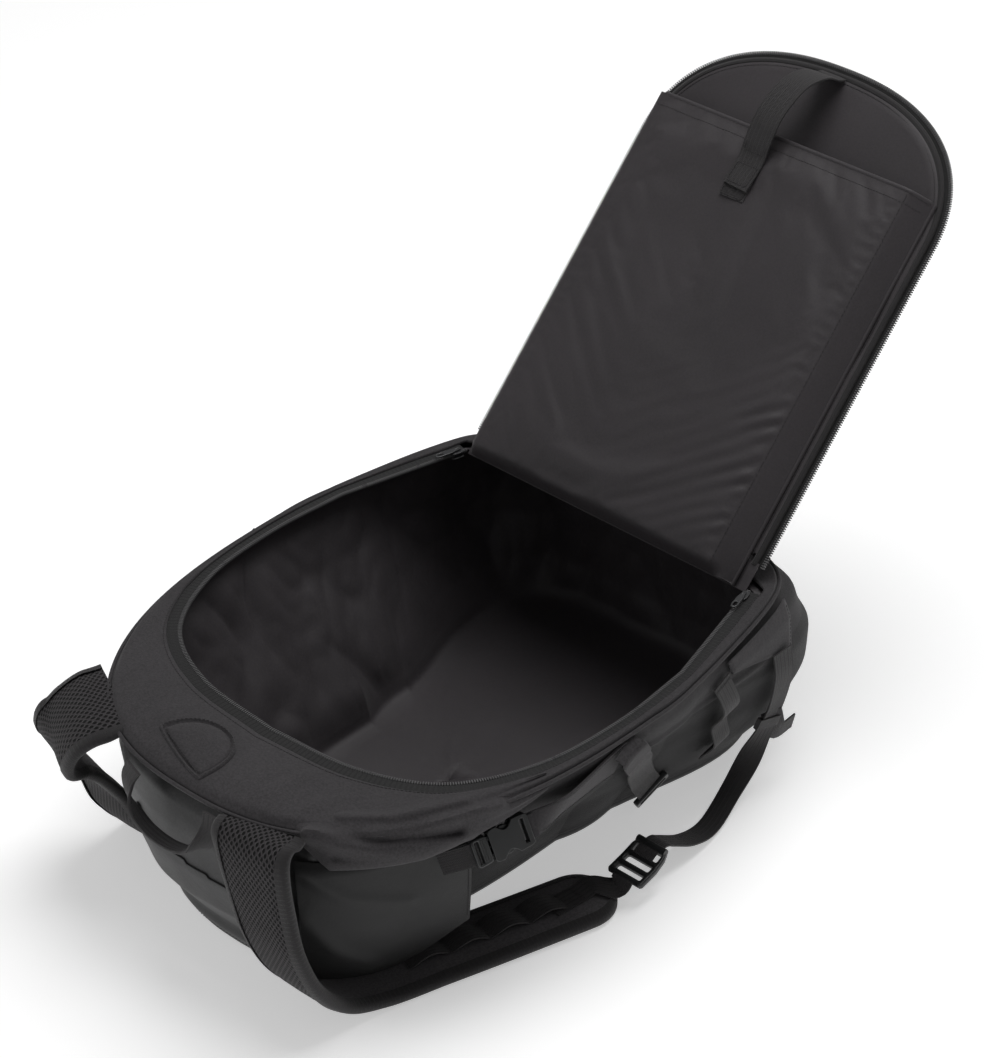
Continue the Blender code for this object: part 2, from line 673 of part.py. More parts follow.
def make_ladder_lock(name, swing, root):
    """The strap adjuster: a frame with three bars. It tips about the bar that the pad's loop holds."""
    place = np.array(LOCK_PLACE[name]) - root
    hinge = pivot(f"ladder_pivot_{name}", place + (0, -0.015, -0.005), (math.radians(14), 0, 0), swing)
    corners = (-0.018, -0.002, -0.003), (0.018, 0.038, 0.004)
    frame = box(f"ladder_lock_{name}", *corners, PLASTIC, hinge, bevel=0.0015)
    for index, (low, high) in enumerate(((0.0025, 0.0085), (0.0130, 0.0200), (0.0245, 0.0325))):
        corners = (-0.0130, low, -0.02), (0.0130, high, 0.02)
        slot = box(f"cut_slot_{name}_{index}", *corners, None, hinge, into=CUTTERS)
        cut(frame, slot)


def make_wing(name):
    """The triangular patch at the foot of the side, which anchors the shoulder strap's lower webbing."""
    corners = ((0.118, 0.176), (0.216, 0.176), (0.206, 0.140), (0.122, 0.164))
    wall_patch(f"strap_wing_{name}", corners, 0.0022, 0.0028, CANVAS, SIDES[name])


# (y, z, distance off the wall) at each anchor and at each slack loop between them
GEAR_LOOP = (
    (0.104, 0.166, 0.004), (0.116, 0.135, 0.013), (0.124, 0.105, 0.006),
    (0.132, 0.080, 0.013), (0.140, 0.052, 0.005),
)


def make_gear_loop(name):
    """A webbing loop down the side, sewn down at both ends and standing off the wall between them."""
    side = SIDES[name]
    path = [on_wall(y, z, off, side) for y, z, off in GEAR_LOOP]
    sweep(f"gear_loop_{name}", spline(path, 3), (0, 1, 0.2), 0.010, WEBBING / 2, WEB)


def make_compression_strap(name):
    """A strap that runs slantwise down the side, with a slide buckle at its foot."""
    side = SIDES[name]
    route = np.column_stack([np.linspace(-0.020, 0.104, 9), np.linspace(0.170, 0.016, 9)])
    path = np.array([on_wall(y, z, 0.0095, side) for y, z in route])
    sweep(f"compression_strap_{name}", path, (0, 1, 0.15), 0.0135, WEBBING / 2, WEB)
    down = unit(path[-2] - path[-4])
    place = np.array(path[-3])
    across = unit(np.cross(np.cross(down, (0, 1, 0.15)), down))
    out = np.cross(across, down)
    out *= np.sign(out[0]) * side
    turn = Matrix((across, down, out)).transposed()
    if turn.determinant() < 0:
        turn = Matrix((-across, down, out)).transposed()
    holder = pivot(f"slide_buckle_pivot_{name}", place, turn.to_euler())
    corners = (-0.0190, -0.007, -0.0012), (0.0190, 0.007, 0.0042)
    frame = box(f"slide_buckle_{name}", *corners, PLASTIC, holder, bevel=0.0008)
    corners = (-0.0160, -0.02, -0.01), (0.0160, 0.02, 0.0024)
    way = box(f"cut_webbing_way_{name}", *corners, None, holder, into=CUTTERS)
    cut(frame, way)


# ---- side-release buckles -----------------------------------------------------------------------
BUCKLE_HALF = 0.0140
BUCKLE_THICK = 0.0042
SOCKET_START = 0.0080  # along the buckle from the plug's middle
SOCKET_LENGTH = 0.036
PRONG_ROOT = 0.0076  # distance of a prong's root from the buckle's middle line
# A prong's outline from its root, with the barb that catches in the socket's side window
PRONG = (
    (0, -0.0018), (0.0215, -0.0018), (0.0215, 0.0004), (0.0190, 0.0018),
    (0.0175, 0.0046), (0.0120, 0.0046), (0.0115, 0.0018), (0, 0.0018),
)


def buckle_frame(name):
    """Place and turn of a buckle: local +X points to the socket's webbing, +Z away from the wall."""
    side = SIDES[name]
    start = np.array(on_wall(-0.166, 0.145, 0.0225, side))
    end = np.array(on_wall(-0.118, 0.152, 0.0160, side))
    along = unit(end - start)
    out = unit(np.array([side * 0.86, -0.25, 0.40]))
    out = unit(out - along * (out @ along))
    return start, along, np.cross(out, along), out


def make_buckle(name):
    """Plug with two prongs on the roll-top, and a socket on a tab that widens to the rim."""
    side = SIDES[name]
    start, along, wide, out = buckle_frame(name)
    turn = Matrix((along, wide, out)).transposed().to_euler()
    holder = pivot(f"buckle_pivot_{name}", start, turn)
    low, high = (-0.007, -BUCKLE_HALF + 0.002, -BUCKLE_THICK), (0.007, BUCKLE_HALF - 0.002, BUCKLE_THICK)
    plug = box(f"buckle_plug_{name}", low, high, PLASTIC, holder, bevel=0.001)
    low, high = (-0.0042, -0.0095, -0.02), (-0.0007, 0.0095, 0.02)
    cut(plug, box(f"cut_plug_slot_{name}", low, high, None, holder, into=CUTTERS))
    box(f"buckle_tongue_{name}", (0.0073, -0.0009, -0.0012), (0.0270, 0.0009, 0.0012), PLASTIC, holder)

    for label, way in (("upper", 1), ("lower", -1)):
        root = pivot(f"prong_pivot_{label}_{name}", (0.0073, way * PRONG_ROOT, 0), parent=holder)
        outline = [(x, y * way) for x, y in PRONG]
        plate(f"buckle_prong_{label}_{name}", outline, -0.0018, 0.0018, PLASTIC, root)

    end = SOCKET_START + SOCKET_LENGTH
    low, high = (SOCKET_START, -BUCKLE_HALF, -BUCKLE_THICK), (end, BUCKLE_HALF, BUCKLE_THICK)
    socket = box(f"buckle_socket_{name}", low, high, PLASTIC, holder, bevel=0.001)
    low, high = (SOCKET_START - 0.01, -0.0102, -0.0025), (SOCKET_START + 0.0235, 0.0102, 0.0025)
    cut(socket, box(f"cut_mouth_{name}", low, high, None, holder, into=CUTTERS))
    for label, way in (("upper", 1), ("lower", -1)):
        low, high = sorted((way * 0.008, way * 0.03))
        corners = (0.0180, low, -0.0025), (0.0285, high, 0.0025)
        window = box(f"cut_window_{label}_{name}", *corners, None, holder, into=CUTTERS)
        cut(socket, window)
    low, high = (end - 0.0080, -0.0105, -0.02), (end - 0.0040, 0.0105, 0.02)
    cut(socket, box(f"cut_web_slot_{name}", low, high, None, holder, into=CUTTERS))

    tail = start + along * (end + 0.0030)
    middle = np.array(on_wall(-0.086, 0.161, 0.0150, side))
    rim = np.array(on_wall(-0.050, 0.157, 0.0125, side))
    tab = spline((tail, middle, rim), 4)
    sweep(f"buckle_tab_{name}", tab, wide, np.linspace(0.0105, 0.0150, len(tab)), WEBBING / 2, WEB)


# ---- assembly -----------------------------------------------------------------------------------
def main():
    make_shell()
    seam = make_yoke()
    make_piping(seam)
    make_port()
    make_flap()
    zip_half("body_zip", body_zip_path(), BODY_ZIP_Z, 1)
    lid = make_lid()
    make_sleeve_strap(lid)
    make_handle()
    for name, side in SIDES.items():
        make_slider(side)
        swing, root = make_shoulder_strap(name)
        make_ladder_lock(name, swing, root)
        make_wing(name)
        make_gear_loop(name)
        make_compression_strap(name)
        make_buckle(name)


main()
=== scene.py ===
import json
import math

import bpy
import numpy as np
from mathutils import Matrix, Vector, noise


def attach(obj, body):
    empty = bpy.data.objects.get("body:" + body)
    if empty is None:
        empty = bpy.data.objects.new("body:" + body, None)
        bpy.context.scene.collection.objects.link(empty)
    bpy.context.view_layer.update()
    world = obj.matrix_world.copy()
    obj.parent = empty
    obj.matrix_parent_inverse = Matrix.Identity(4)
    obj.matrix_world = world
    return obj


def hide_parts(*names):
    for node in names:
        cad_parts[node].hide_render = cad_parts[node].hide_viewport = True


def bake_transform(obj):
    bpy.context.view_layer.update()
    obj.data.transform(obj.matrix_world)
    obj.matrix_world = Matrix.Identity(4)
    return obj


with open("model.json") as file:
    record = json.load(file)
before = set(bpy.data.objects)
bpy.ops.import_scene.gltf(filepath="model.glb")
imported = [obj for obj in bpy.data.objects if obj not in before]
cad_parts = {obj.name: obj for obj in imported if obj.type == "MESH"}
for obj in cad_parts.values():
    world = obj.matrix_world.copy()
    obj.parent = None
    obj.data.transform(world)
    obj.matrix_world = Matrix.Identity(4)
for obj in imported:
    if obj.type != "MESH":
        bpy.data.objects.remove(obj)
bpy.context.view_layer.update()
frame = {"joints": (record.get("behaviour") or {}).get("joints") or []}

# Looks of the travel backpack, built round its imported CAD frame. Metres, +Z up. The bag's head end is at -Y.
SIDES = {"right": 1, "left": -1}

# ---- driving dimensions, the same as the CAD model's ----------------------------------------------
RIM_Z = 0.186
FLOOR_TOP = 0.0105
MIDDLE_Y = 0.013
HEAD_POWER = 2.5
FOOT_POWER = 6.0
WALL_LEVELS = (  # z, head end y, foot end y, half width, half width at the foot
    (0.1815, -0.297, 0.252, 0.2095, 0.187),
    (0.166, -0.262, 0.270, 0.208, 0.194),
    (0.130, -0.260, 0.287, 0.190, 0.201),
    (0.090, -0.257, 0.293, 0.160, 0.194),
    (0.050, -0.250, 0.292, 0.132, 0.176),
    (FLOOR_TOP, -0.238, 0.280, 0.112, 0.146),
)
FLAP_LEVELS = (
    (0.160, -0.289, 0.276, 0.208, 0.203),
    (0.130, -0.293, 0.290, 0.208, 0.208),
    (0.090, -0.290, 0.295, 0.202, 0.196),
    (0.055, -0.280, 0.293, 0.186, 0.176),
    (0.026, -0.262, 0.280, 0.164, 0.146),
)
FLAP_HALF_ANGLE = 47.0
OPENING_CURVE = (
    (0.0, -0.203), (0.085, -0.194), (0.150, -0.160), (0.186, -0.092), (0.196, -0.010), (0.1915, 0.070),
)
OPENING_CORNER = (0.160, 0.195)
BODY_ZIP_Z = RIM_Z - 0.0006
LID_RISE = math.radians(45.2)
LID_ORIGIN = np.array(next(j["pos_m"] for j in frame["joints"] if j["name"] == "lid_hinge"))
LID_HALF = 0.160
LID_LENGTH = 0.434
LID_ROUND = 0.120
LID_FOOT = 0.016
LID_ZIP_Z = -0.003
SLEEVE_HALF = 0.145
SLEEVE_SEAM = 0.124
SLEEVE_MOUTH = 0.352
SLEEVE_FOOT = -0.008
SLEEVE_DEPTH = 0.024
PAD_THICK = 0.012
WEB_THICK = 0.0016
CLOTH_THICK = 0.0016
SEAM_WELT_Z = 0.1826
PORT_CENTRE = (-0.026, -0.276)
PORT_HALF = 0.037
PORT_DEPTH = 0.044
PORT_TURN = math.radians(-19)
BAND_Z = 0.134
YOKE_EDGE = 0.0048  # from the zip teeth to the yoke, where the yoke is narrow

# ---- view -----------------------------------------------------------------------------------------
CAMERA_AZIMUTH, CAMERA_ELEVATION = math.radians(42.3), math.radians(34.4)
CAMERA_TARGET = (0.040, 0.022, 0.281)
CAMERA_DISTANCE = 2.722
CAMERA_LENS = 115.2
LIGHTS = (  # name, place, target, size, power
    ("key", (-0.15, 0.55, 2.8), (0, 0, 0.15), 2.1, 42),
    ("back", (0.5, 1.9, 2.4), (0, 0.1, 0.2), 1.6, 10),
    ("front", (-1.3, -2.3, 1.1), (0, 0, 0.15), 1.3, 7),
)
SKY_STRENGTH = 0.20
FLOOR_COLOUR, FLOOR_GLOW = 0.93, 0.42
FLOOR_REACH = 9


# ---- camera and light -----------------------------------------------------------------------------
def make_camera():
    level = math.cos(CAMERA_ELEVATION)
    back = Vector((
        math.sin(CAMERA_AZIMUTH) * level, -math.cos(CAMERA_AZIMUTH) * level, math.sin(CAMERA_ELEVATION),
    ))
    camera = bpy.data.objects.new("camera", bpy.data.cameras.new("camera"))
    bpy.context.scene.collection.objects.link(camera)
    camera.data.lens = CAMERA_LENS
    camera.location = Vector(CAMERA_TARGET) + back * CAMERA_DISTANCE
    camera.rotation_euler = back.to_track_quat("Z", "Y").to_euler()
    bpy.context.scene.camera = camera


def area_light(name, place, target, size, power):
    light = bpy.data.lights.new(name, "AREA")
    light.shape = "DISK"
    light.size = size
    light.energy = power
    made = bpy.data.objects.new(name, light)
    bpy.context.scene.collection.objects.link(made)
    made.location = place
    made.rotation_euler = (Vector(place) - Vector(target)).to_track_quat("Z", "Y").to_euler()


def make_studio():
    world = bpy.data.worlds.new("studio")
    world.use_nodes = True
    world.node_tree.nodes["Background"].inputs["Color"].default_value = (1, 1, 1, 1)
    world.node_tree.nodes["Background"].inputs["Strength"].default_value = SKY_STRENGTH
    bpy.context.scene.world = world
    bpy.context.scene.view_settings.view_transform = "Standard"
    for light in LIGHTS:
        area_light(*light)
    data = bpy.data.meshes.new("floor")
    corners = [(x * FLOOR_REACH, y * FLOOR_REACH, 0) for x, y in ((-1, -1), (1, -1), (1, 1), (-1, 1))]
    data.from_pydata(corners, [], [(0, 1, 2, 3)])
    floor = bpy.data.objects.new("floor", data)
    bpy.context.scene.collection.objects.link(floor)
    look = bpy.data.materials.new("floor_white")
    look.use_nodes = True
    shader = look.node_tree.nodes["Principled BSDF"]
    shader.inputs["Base Color"].default_value = (FLOOR_COLOUR, FLOOR_COLOUR, FLOOR_COLOUR, 1)
    shader.inputs["Roughness"].default_value = 0.8
    shader.inputs["Specular IOR Level"].default_value = 0.1
    shader.inputs["Emission Color"].default_value = (1, 1, 1, 1)
    shader.inputs["Emission Strength"].default_value = FLOOR_GLOW
    data.materials.append(look)


# ---- materials ------------------------------------------------------------------------------------
def add(tree, kind, inputs=None, **settings):
    """A shader node with its inputs linked or set."""
    made = tree.nodes.new("ShaderNode" + kind)
    for key, value in settings.items():
        setattr(made, key, value)
    for key, value in (inputs or {}).items():
        if isinstance(value, bpy.types.NodeSocket):
            tree.links.new(value, made.inputs[key])
        else:
            made.inputs[key].default_value = value
    return made


def maths(tree, operation, *values):
    return add(tree, "Math", dict(enumerate(values)), operation=operation).outputs[0]


def vector_maths(tree, operation, *values, out=0):
    return add(tree, "VectorMath", dict(enumerate(values)), operation=operation).outputs[out]


def ramp(tree, value, low, high, start=0.0, end=1.0):
    """value from low..high mapped onto start..end, and held there beyond."""
    names = {"Value": value, "From Min": low, "From Max": high, "To Min": start, "To Max": end}
    return add(tree, "MapRange", names).outputs[0]


def blank(name, roughness, metallic=0.0, specular=0.4, sheen=0.0):
    look = bpy.data.materials.new(name)
    look.use_nodes = True
    shader = look.node_tree.nodes["Principled BSDF"]
    shader.inputs["Roughness"].default_value = roughness
    shader.inputs["Metallic"].default_value = metallic
    shader.inputs["Specular IOR Level"].default_value = specular
    shader.inputs["Sheen Weight"].default_value = sheen
    shader.inputs["Sheen Roughness"].default_value = 0.5
    return look, look.node_tree, shader


def shade(tree, colour, factor):
    """The colour multiplied by a factor socket."""
    scaled = vector_maths(tree, "SCALE", colour)
    tree.nodes[-1].inputs["Scale"].default_value = 1.0
    tree.links.new(factor, tree.nodes[-1].inputs["Scale"])
    return scaled


def mottle(tree, place, amount=0.10, grain=0.10):
    """A factor near 1: soft variation over the surface, a fine thread grain and lighter sharp outer edges."""
    soft = add(tree, "TexNoise", {"Vector": place, "Scale": 9.0, "Detail": 3.0}).outputs[0]
    fine = add(
        tree, "TexNoise", {"Vector": place, "Scale": 520.0, "Detail": 3.0, "Roughness": 0.7},
    ).outputs[0]
    # up to about a fifth lighter where the surface has a sharp convex edge
    sharp_edge_lift = ramp(tree, add(tree, "NewGeometry").outputs["Pointiness"], 0.50, 0.62, 1.0, 1.22)
    both = maths(
        tree, "ADD", ramp(tree, soft, 0.3, 0.7, -amount, amount),
        ramp(tree, fine, 0.35, 0.65, -grain, grain),
    )
    return maths(tree, "MULTIPLY", maths(tree, "ADD", both, 1.0), sharp_edge_lift)


def finish_look(look, tree, shader, colour, factor, height, strength, distance, crease=0.0):
    bump = add(tree, "Bump", {"Height": height, "Strength": strength, "Distance": distance})
    if crease:
        place = add(tree, "TexCoord").outputs["Object"]
        folds = add(
            tree, "TexNoise", {"Vector": place, "Scale": 24.0, "Detail": 4.0, "Distortion": 0.7},
        ).outputs[0]
        soft = add(tree, "Bump", {"Height": folds, "Strength": 0.5, "Distance": crease})
        tree.links.new(soft.outputs[0], bump.inputs["Normal"])
    tree.links.new(bump.outputs[0], shader.inputs["Normal"])
    base = add(tree, "RGB").outputs[0]
    base.default_value = (*colour, 1.0)
    tree.links.new(shade(tree, base, factor), shader.inputs["Base Color"])
    return look


def woven(
    name, colour, roughness, pitch, depth, sheen=0.08, specular=0.3, slub=0.10, grain=0.26, crease=0.0,
):
    """Plain weave in the piece's own UV, which is in metres."""
    look, tree, shader = blank(name, roughness, sheen=sheen, specular=specular)
    coords = add(tree, "TexCoord")
    uv, solid = coords.outputs["UV"], coords.outputs["Object"]
    parts = add(tree, "SeparateXYZ", {0: uv})
    turns = 2 * math.pi / pitch
    warp = maths(tree, "SINE", maths(tree, "MULTIPLY", parts.outputs[0], turns))
    weft = maths(tree, "SINE", maths(tree, "MULTIPLY", parts.outputs[1], turns))
    weave = maths(tree, "MULTIPLY", warp, weft)
    thread = add(
        tree, "TexNoise",
        {"Vector": vector_maths(tree, "MULTIPLY", uv, (1800.0, 200.0, 1.0)), "Scale": 1.0},
    ).outputs[0]
    height = maths(tree, "ADD", maths(tree, "MULTIPLY", weave, 0.5), thread)
    factor = maths(
        tree, "MULTIPLY", mottle(tree, solid, slub, grain), ramp(tree, weave, -1.0, 1.0, 0.90, 1.10),
    )
    return finish_look(look, tree, shader, colour, factor, height, 0.45, depth, crease)


def spacer_mesh(name, colour, pitch=0.0046):
    """Knitted mesh: staggered long holes over the backing, painted near black as painted shade inside the
    holes.
    """
    look, tree, shader = blank(name, 0.85, sheen=0.1, specular=0.2)
    coords = add(tree, "TexCoord")
    rise = pitch * 1.25
    scaled = vector_maths(tree, "MULTIPLY", coords.outputs["UV"], (1 / pitch, 1 / rise, 0.0))
    distances = []
    for shift in (0.0, 0.5):
        cell = vector_maths(tree, "FRACTION", vector_maths(tree, "ADD", scaled, (shift, shift, 0.0)))
        centred = vector_maths(tree, "SUBTRACT", cell, (0.5, 0.5, 0.0))
        inside = vector_maths(tree, "MULTIPLY", centred, (pitch * 1.15, rise * 0.85, 0.0))
        distances.append(vector_maths(tree, "LENGTH", inside, out="Value"))
    hole = ramp(tree, maths(tree, "MINIMUM", *distances), 0.00100, 0.00160)
    knit = add(
        tree, "TexNoise", {"Vector": coords.outputs["UV"], "Scale": 1100.0, "Detail": 2.0},
    ).outputs[0]
    # The holes are painted near black: painted shade inside them.
    factor = maths(
        tree, "MULTIPLY", mottle(tree, coords.outputs["Object"], 0.08, 0.15),
        ramp(tree, hole, 0.0, 1.0, 0.04, 1.25),
    )
    height = maths(tree, "ADD", hole, maths(tree, "MULTIPLY", knit, 0.25))
    return finish_look(look, tree, shader, colour, factor, height, 1.0, 0.0012)


def ribbed(name, colour, roughness=0.7, rib=0.0013, depth=0.0003):
    """Webbing: ribs across its length in a herringbone. UV runs across the strap, then along it."""
    look, tree, shader = blank(name, roughness, sheen=0.15, specular=0.35)
    coords = add(tree, "TexCoord")
    parts = add(tree, "SeparateXYZ", {0: coords.outputs["UV"]})
    across = maths(tree, "PINGPONG", parts.outputs[0], 0.0021)
    slanted = maths(tree, "ADD", parts.outputs[1], maths(tree, "MULTIPLY", across, 0.6))
    ribs = maths(tree, "SINE", maths(tree, "MULTIPLY", slanted, 2 * math.pi / rib))
    rows = maths(tree, "SINE", maths(tree, "MULTIPLY", parts.outputs[0], 2 * math.pi / 0.0021))
    height = maths(tree, "ADD", ribs, maths(tree, "MULTIPLY", rows, 0.4))
    factor = maths(
        tree, "MULTIPLY", mottle(tree, coords.outputs["Object"], 0.08, 0.12),
        ramp(tree, height, -1.4, 1.4, 0.80, 1.12),
    )
    return finish_look(look, tree, shader, colour, factor, height, 0.6, depth)


def moulded_plastic(name, colour, roughness=0.38):
    look, tree, shader = blank(name, roughness, specular=0.5)
    place = add(tree, "TexCoord").outputs["Object"]
    grain = add(tree, "TexNoise", {"Vector": place, "Scale": 1400.0, "Detail": 3.0}).outputs[0]
    scuffs = add(tree, "TexNoise", {"Vector": place, "Scale": 60.0, "Detail": 5.0}).outputs[0]
    tree.links.new(
        ramp(tree, scuffs, 0.3, 0.7, roughness - 0.07, roughness + 0.10), shader.inputs["Roughness"],
    )
    return finish_look(look, tree, shader, colour, mottle(tree, place, 0.05, 0.04), grain, 0.25, 0.0002)


LOOKS = {
    "canvas": woven("canvas", (0.0400, 0.0370, 0.0395), 0.78, 0.0009, 0.00025, crease=0.0022),
    # The next look is the canvas painted much darker: painted shade for the undercut side wall below the band.
    "canvas_painted_deep_shade": woven("canvas_painted_deep_shade", (0.0130, 0.0121, 0.0129), 0.80, 0.0009, 0.00025, crease=0.0022),
    "coated_fabric": woven(
        "coated_fabric", (0.0265, 0.0262, 0.0270), 0.52, 0.0007, 0.0001, specular=0.4, crease=0.0015,
    ),
    # The next look is the canvas painted darker: painted shade for the side walls above the band.
    "canvas_side": woven("canvas_side", (0.0240, 0.0222, 0.0238), 0.80, 0.0009, 0.00025, crease=0.0022),
    # The next look is the coated fabric painted much darker: painted shade for the flap's ear, which faces
    # away from the light.
    "coated_painted_shade": woven(
        "coated_painted_shade", (0.0062, 0.0060, 0.0063), 0.52, 0.0007, 0.0001, specular=0.35, crease=0.0015,
    ),
    # The next look is the canvas painted about twice as light: painted light for the shoulder pads' outer
    # side, which the lamps light less.
    "pad_canvas_painted_light": woven("pad_canvas_painted_light", (0.0820, 0.0770, 0.0810), 0.80, 0.0009, 0.00025, crease=0.0015),
    "lining": woven("lining", (0.0345, 0.0300, 0.0330), 0.52, 0.0006, 0.0001, specular=0.38, grain=0.10),
    "hook_and_loop": woven(
        "hook_and_loop", (0.020, 0.018, 0.019), 0.95, 0.0016, 0.0008, sheen=0.3, grain=0.3,
    ),
    "spacer_mesh": spacer_mesh("spacer_mesh", (0.036, 0.033, 0.035)),
    "webbing": ribbed("webbing", (0.0250, 0.0228, 0.0240)),
    "binding": ribbed("binding", (0.0165, 0.0148, 0.0158), rib=0.0008, depth=0.00015),
    "zip_tape": ribbed("zip_tape", (0.0085, 0.0080, 0.0084), rib=0.0010, depth=0.0002),
    # The next look is black nylon painted light grey: painted highlights on the zip's coil teeth.
    "zip_nylon": moulded_plastic("zip_nylon", (0.120, 0.118, 0.120), 0.32),
    "thread": woven("thread", (0.034, 0.031, 0.033), 0.65, 0.0004, 0.0001),
    "acetal_plastic": moulded_plastic("acetal_plastic", (0.016, 0.0165, 0.017), 0.34),
    "slider_metal": moulded_plastic("slider_metal", (0.040, 0.040, 0.042), 0.28),
}


# ---- shape helpers --------------------------------------------------------------------------------
def unit(v):
    return v / np.maximum(np.linalg.norm(v, axis=-1, keepdims=True), 1e-12)


def smooth_step(t, low=0.0, high=1.0):
    t = np.clip((np.asarray(t, float) - low) / (high - low), 0, 1)
    return t * t * (3 - 2 * t)


def circle(count):
    return np.linspace(0, 2 * math.pi, count, endpoint=False)


def at_height(plan, z):
    """Plan points as points in space at that height."""
    return np.column_stack([plan, np.full(len(plan), z)])


def pushed(plan, distance):
    """Plan points moved away from the origin."""
    return plan * (1 + distance / np.linalg.norm(plan, axis=1, keepdims=True))


def spline(points, steps):
    """A smooth curve through the points (Catmull-Rom), with that many steps between two of them."""
    p = np.array(points, float)
    p = np.concatenate([[2 * p[0] - p[1]], p, [2 * p[-1] - p[-2]]])
    curve = []
    for before, start, end, after in zip(p, p[1:], p[2:], p[3:]):
        for t in np.linspace(0, 1, steps, endpoint=False):
            curve.append(
                0.5 * (2 * start + (end - before) * t + (2 * before - 5 * start + 4 * end - after) * t**2)
                + 0.5 * (3 * start - before - 3 * end + after) * t**3
            )
    return np.array([*curve, p[-2]])


def along_of(path):
    """Distance travelled at each point of a path."""
    return np.concatenate([[0], np.cumsum(np.linalg.norm(np.diff(path, axis=0), axis=1))])


def even(path, pitch):
    """The path at equal steps of about that length."""
    path = np.asarray(path, float)
    travelled = along_of(path)
    stops = np.linspace(0, travelled[-1], max(2, round(travelled[-1] / pitch) + 1))
    return np.stack([np.interp(stops, travelled, path[:, k]) for k in range(path.shape[1])], axis=1)


def rough(points, size, seed=0.0):
    """Smooth noise from about -1 to 1 at each point. Its features are about `size` across."""
    flat = np.asarray(points, float).reshape(-1, 3) / size + seed * 7.31
    values = [noise.noise(p) for p in flat.tolist()]
    return np.array(values).reshape(np.shape(points)[:-1])


def near_line(points, line):
    """Distance from each point to a polyline."""
    flat = np.asarray(points, float).reshape(-1, 3)
    best = np.full(len(flat), 9.0)
    for start, end in zip(np.array(line, float), np.array(line, float)[1:]):
        run = end - start
        t = np.clip((flat - start) @ run / (run @ run), 0, 1)
        best = np.minimum(best, np.linalg.norm(flat - start - t[:, None] * run, axis=1))
    return best.reshape(np.shape(points)[:-1])


def normals_of(points, closed=False):
    rows = np.gradient(points, axis=0)
    if closed:
        columns = (np.roll(points, -1, axis=1) - np.roll(points, 1, axis=1)) / 2
    else:
        columns = np.gradient(points, axis=1)
    return unit(np.cross(columns, rows))


def piece(obj, body, slot=None, *nodes):
    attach(obj, body)
    if nodes:
        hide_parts(*nodes)
    return obj


def new_object(name, data, *looks):
    made = bpy.data.objects.new(name, data)
    bpy.context.scene.collection.objects.link(made)
    for look in looks:
        data.materials.append(LOOKS[look])
    return made


def grid_faces(rows, columns, closed):
    stops = columns if closed else columns - 1
    r, c = np.meshgrid(np.arange(rows - 1), np.arange(stops), indexing="ij")
    nxt = (c + 1) % columns
    quads = np.stack(
        [r * columns + c, r * columns + nxt, (r + 1) * columns + nxt, (r + 1) * columns + c], -1,
    )
    corners = np.stack([
        np.stack([c, r], -1), np.stack([c + 1, r], -1), np.stack([c + 1, r + 1], -1),
        np.stack([c, r + 1], -1),
    ], 2)
    return quads.reshape(-1, 4), corners.reshape(-1, 4, 2)


def grid(name, points, *looks, closed=False, caps=False, flip=False, thick=0.0, second=None, up=None):
    """A surface through rows of points, with UVs in metres. `second` marks faces of the second look."""
    points = np.asarray(points, float)
    rows, columns = points.shape[:2]
    faces, corners = grid_faces(rows, columns, closed)
    if up is not None and (unit(normals_of(points, closed)) @ np.array(up, float)).mean() < 0:
        flip = not flip
    ring = np.concatenate([points, points[:, :1]], axis=1) if closed else points
    u = np.concatenate([[0], np.cumsum(np.linalg.norm(np.diff(ring, axis=1), axis=2).mean(0))])
    v = np.concatenate([[0], np.cumsum(np.linalg.norm(np.diff(points, axis=0), axis=2).mean(1))])
    uvs = np.stack([u[corners[..., 0]], v[corners[..., 1]]], -1)
    if flip:
        faces, uvs = faces[:, ::-1], uvs[:, ::-1]
    polygons = faces.tolist()
    if caps:
        ends = [list(range(columns)), [(rows - 1) * columns + c for c in range(columns - 1, -1, -1)]]
        polygons += [end[::-1] for end in ends] if not flip else ends
        uvs = np.concatenate([uvs.reshape(-1, 2), np.zeros((2 * columns, 2))])
    data = bpy.data.meshes.new(name)
    data.from_pydata(points.reshape(-1, 3).tolist(), [], polygons)
    layer = data.uv_layers.new(name="UVMap")
    layer.data.foreach_set("uv", uvs.reshape(-1).astype(np.float32))
    made = new_object(name, data, *looks)
    data.shade_smooth()
    if caps:
        data.set_sharp_from_angle(angle=math.radians(50))
    if second is not None:
        chosen = np.zeros(len(polygons), np.int32)
        chosen[: len(faces)] = np.asarray(second, np.int32).reshape(-1)
        data.polygons.foreach_set("material_index", chosen)
    if thick:
        shell = made.modifiers.new("thickness", "SOLIDIFY")
        shell.thickness = thick
        shell.offset = -1.0
    return made


def joined(name, objects):
    """One object from several, which may have different looks."""
    depsgraph = bpy.context.evaluated_depsgraph_get()
    depsgraph.update()
    points, faces, uvs, looks, chosen, smooth = [], [], [], [], [], []
    for obj in objects:
        mesh = bpy.data.meshes.new_from_object(obj.evaluated_get(depsgraph))
        mesh.transform(obj.matrix_world)
        first = len(points)
        points += [tuple(v.co) for v in mesh.vertices]
        for look in mesh.materials:
            if look not in looks:
                looks.append(look)
        layer = mesh.uv_layers[0].data if mesh.uv_layers else None
        for face in mesh.polygons:
            faces.append([first + i for i in face.vertices])
            chosen.append(looks.index(mesh.materials[face.material_index]))
            smooth.append(face.use_smooth)
            uvs += [tuple(layer[i].uv) if layer else (0.0, 0.0) for i in face.loop_indices]
    data = bpy.data.meshes.new(name)
    data.from_pydata(points, [], faces)
    data.uv_layers.new(name="UVMap").data.foreach_set("uv", np.array(uvs, np.float32).reshape(-1))
    for look in looks:
        data.materials.append(look)
    data.polygons.foreach_set("material_index", np.array(chosen, np.int32))
    data.polygons.foreach_set("use_smooth", np.array(smooth, bool))
    data.set_sharp_from_angle(angle=math.radians(48))
    for obj in objects:
        bpy.data.objects.remove(obj)
    return new_object(name, data)


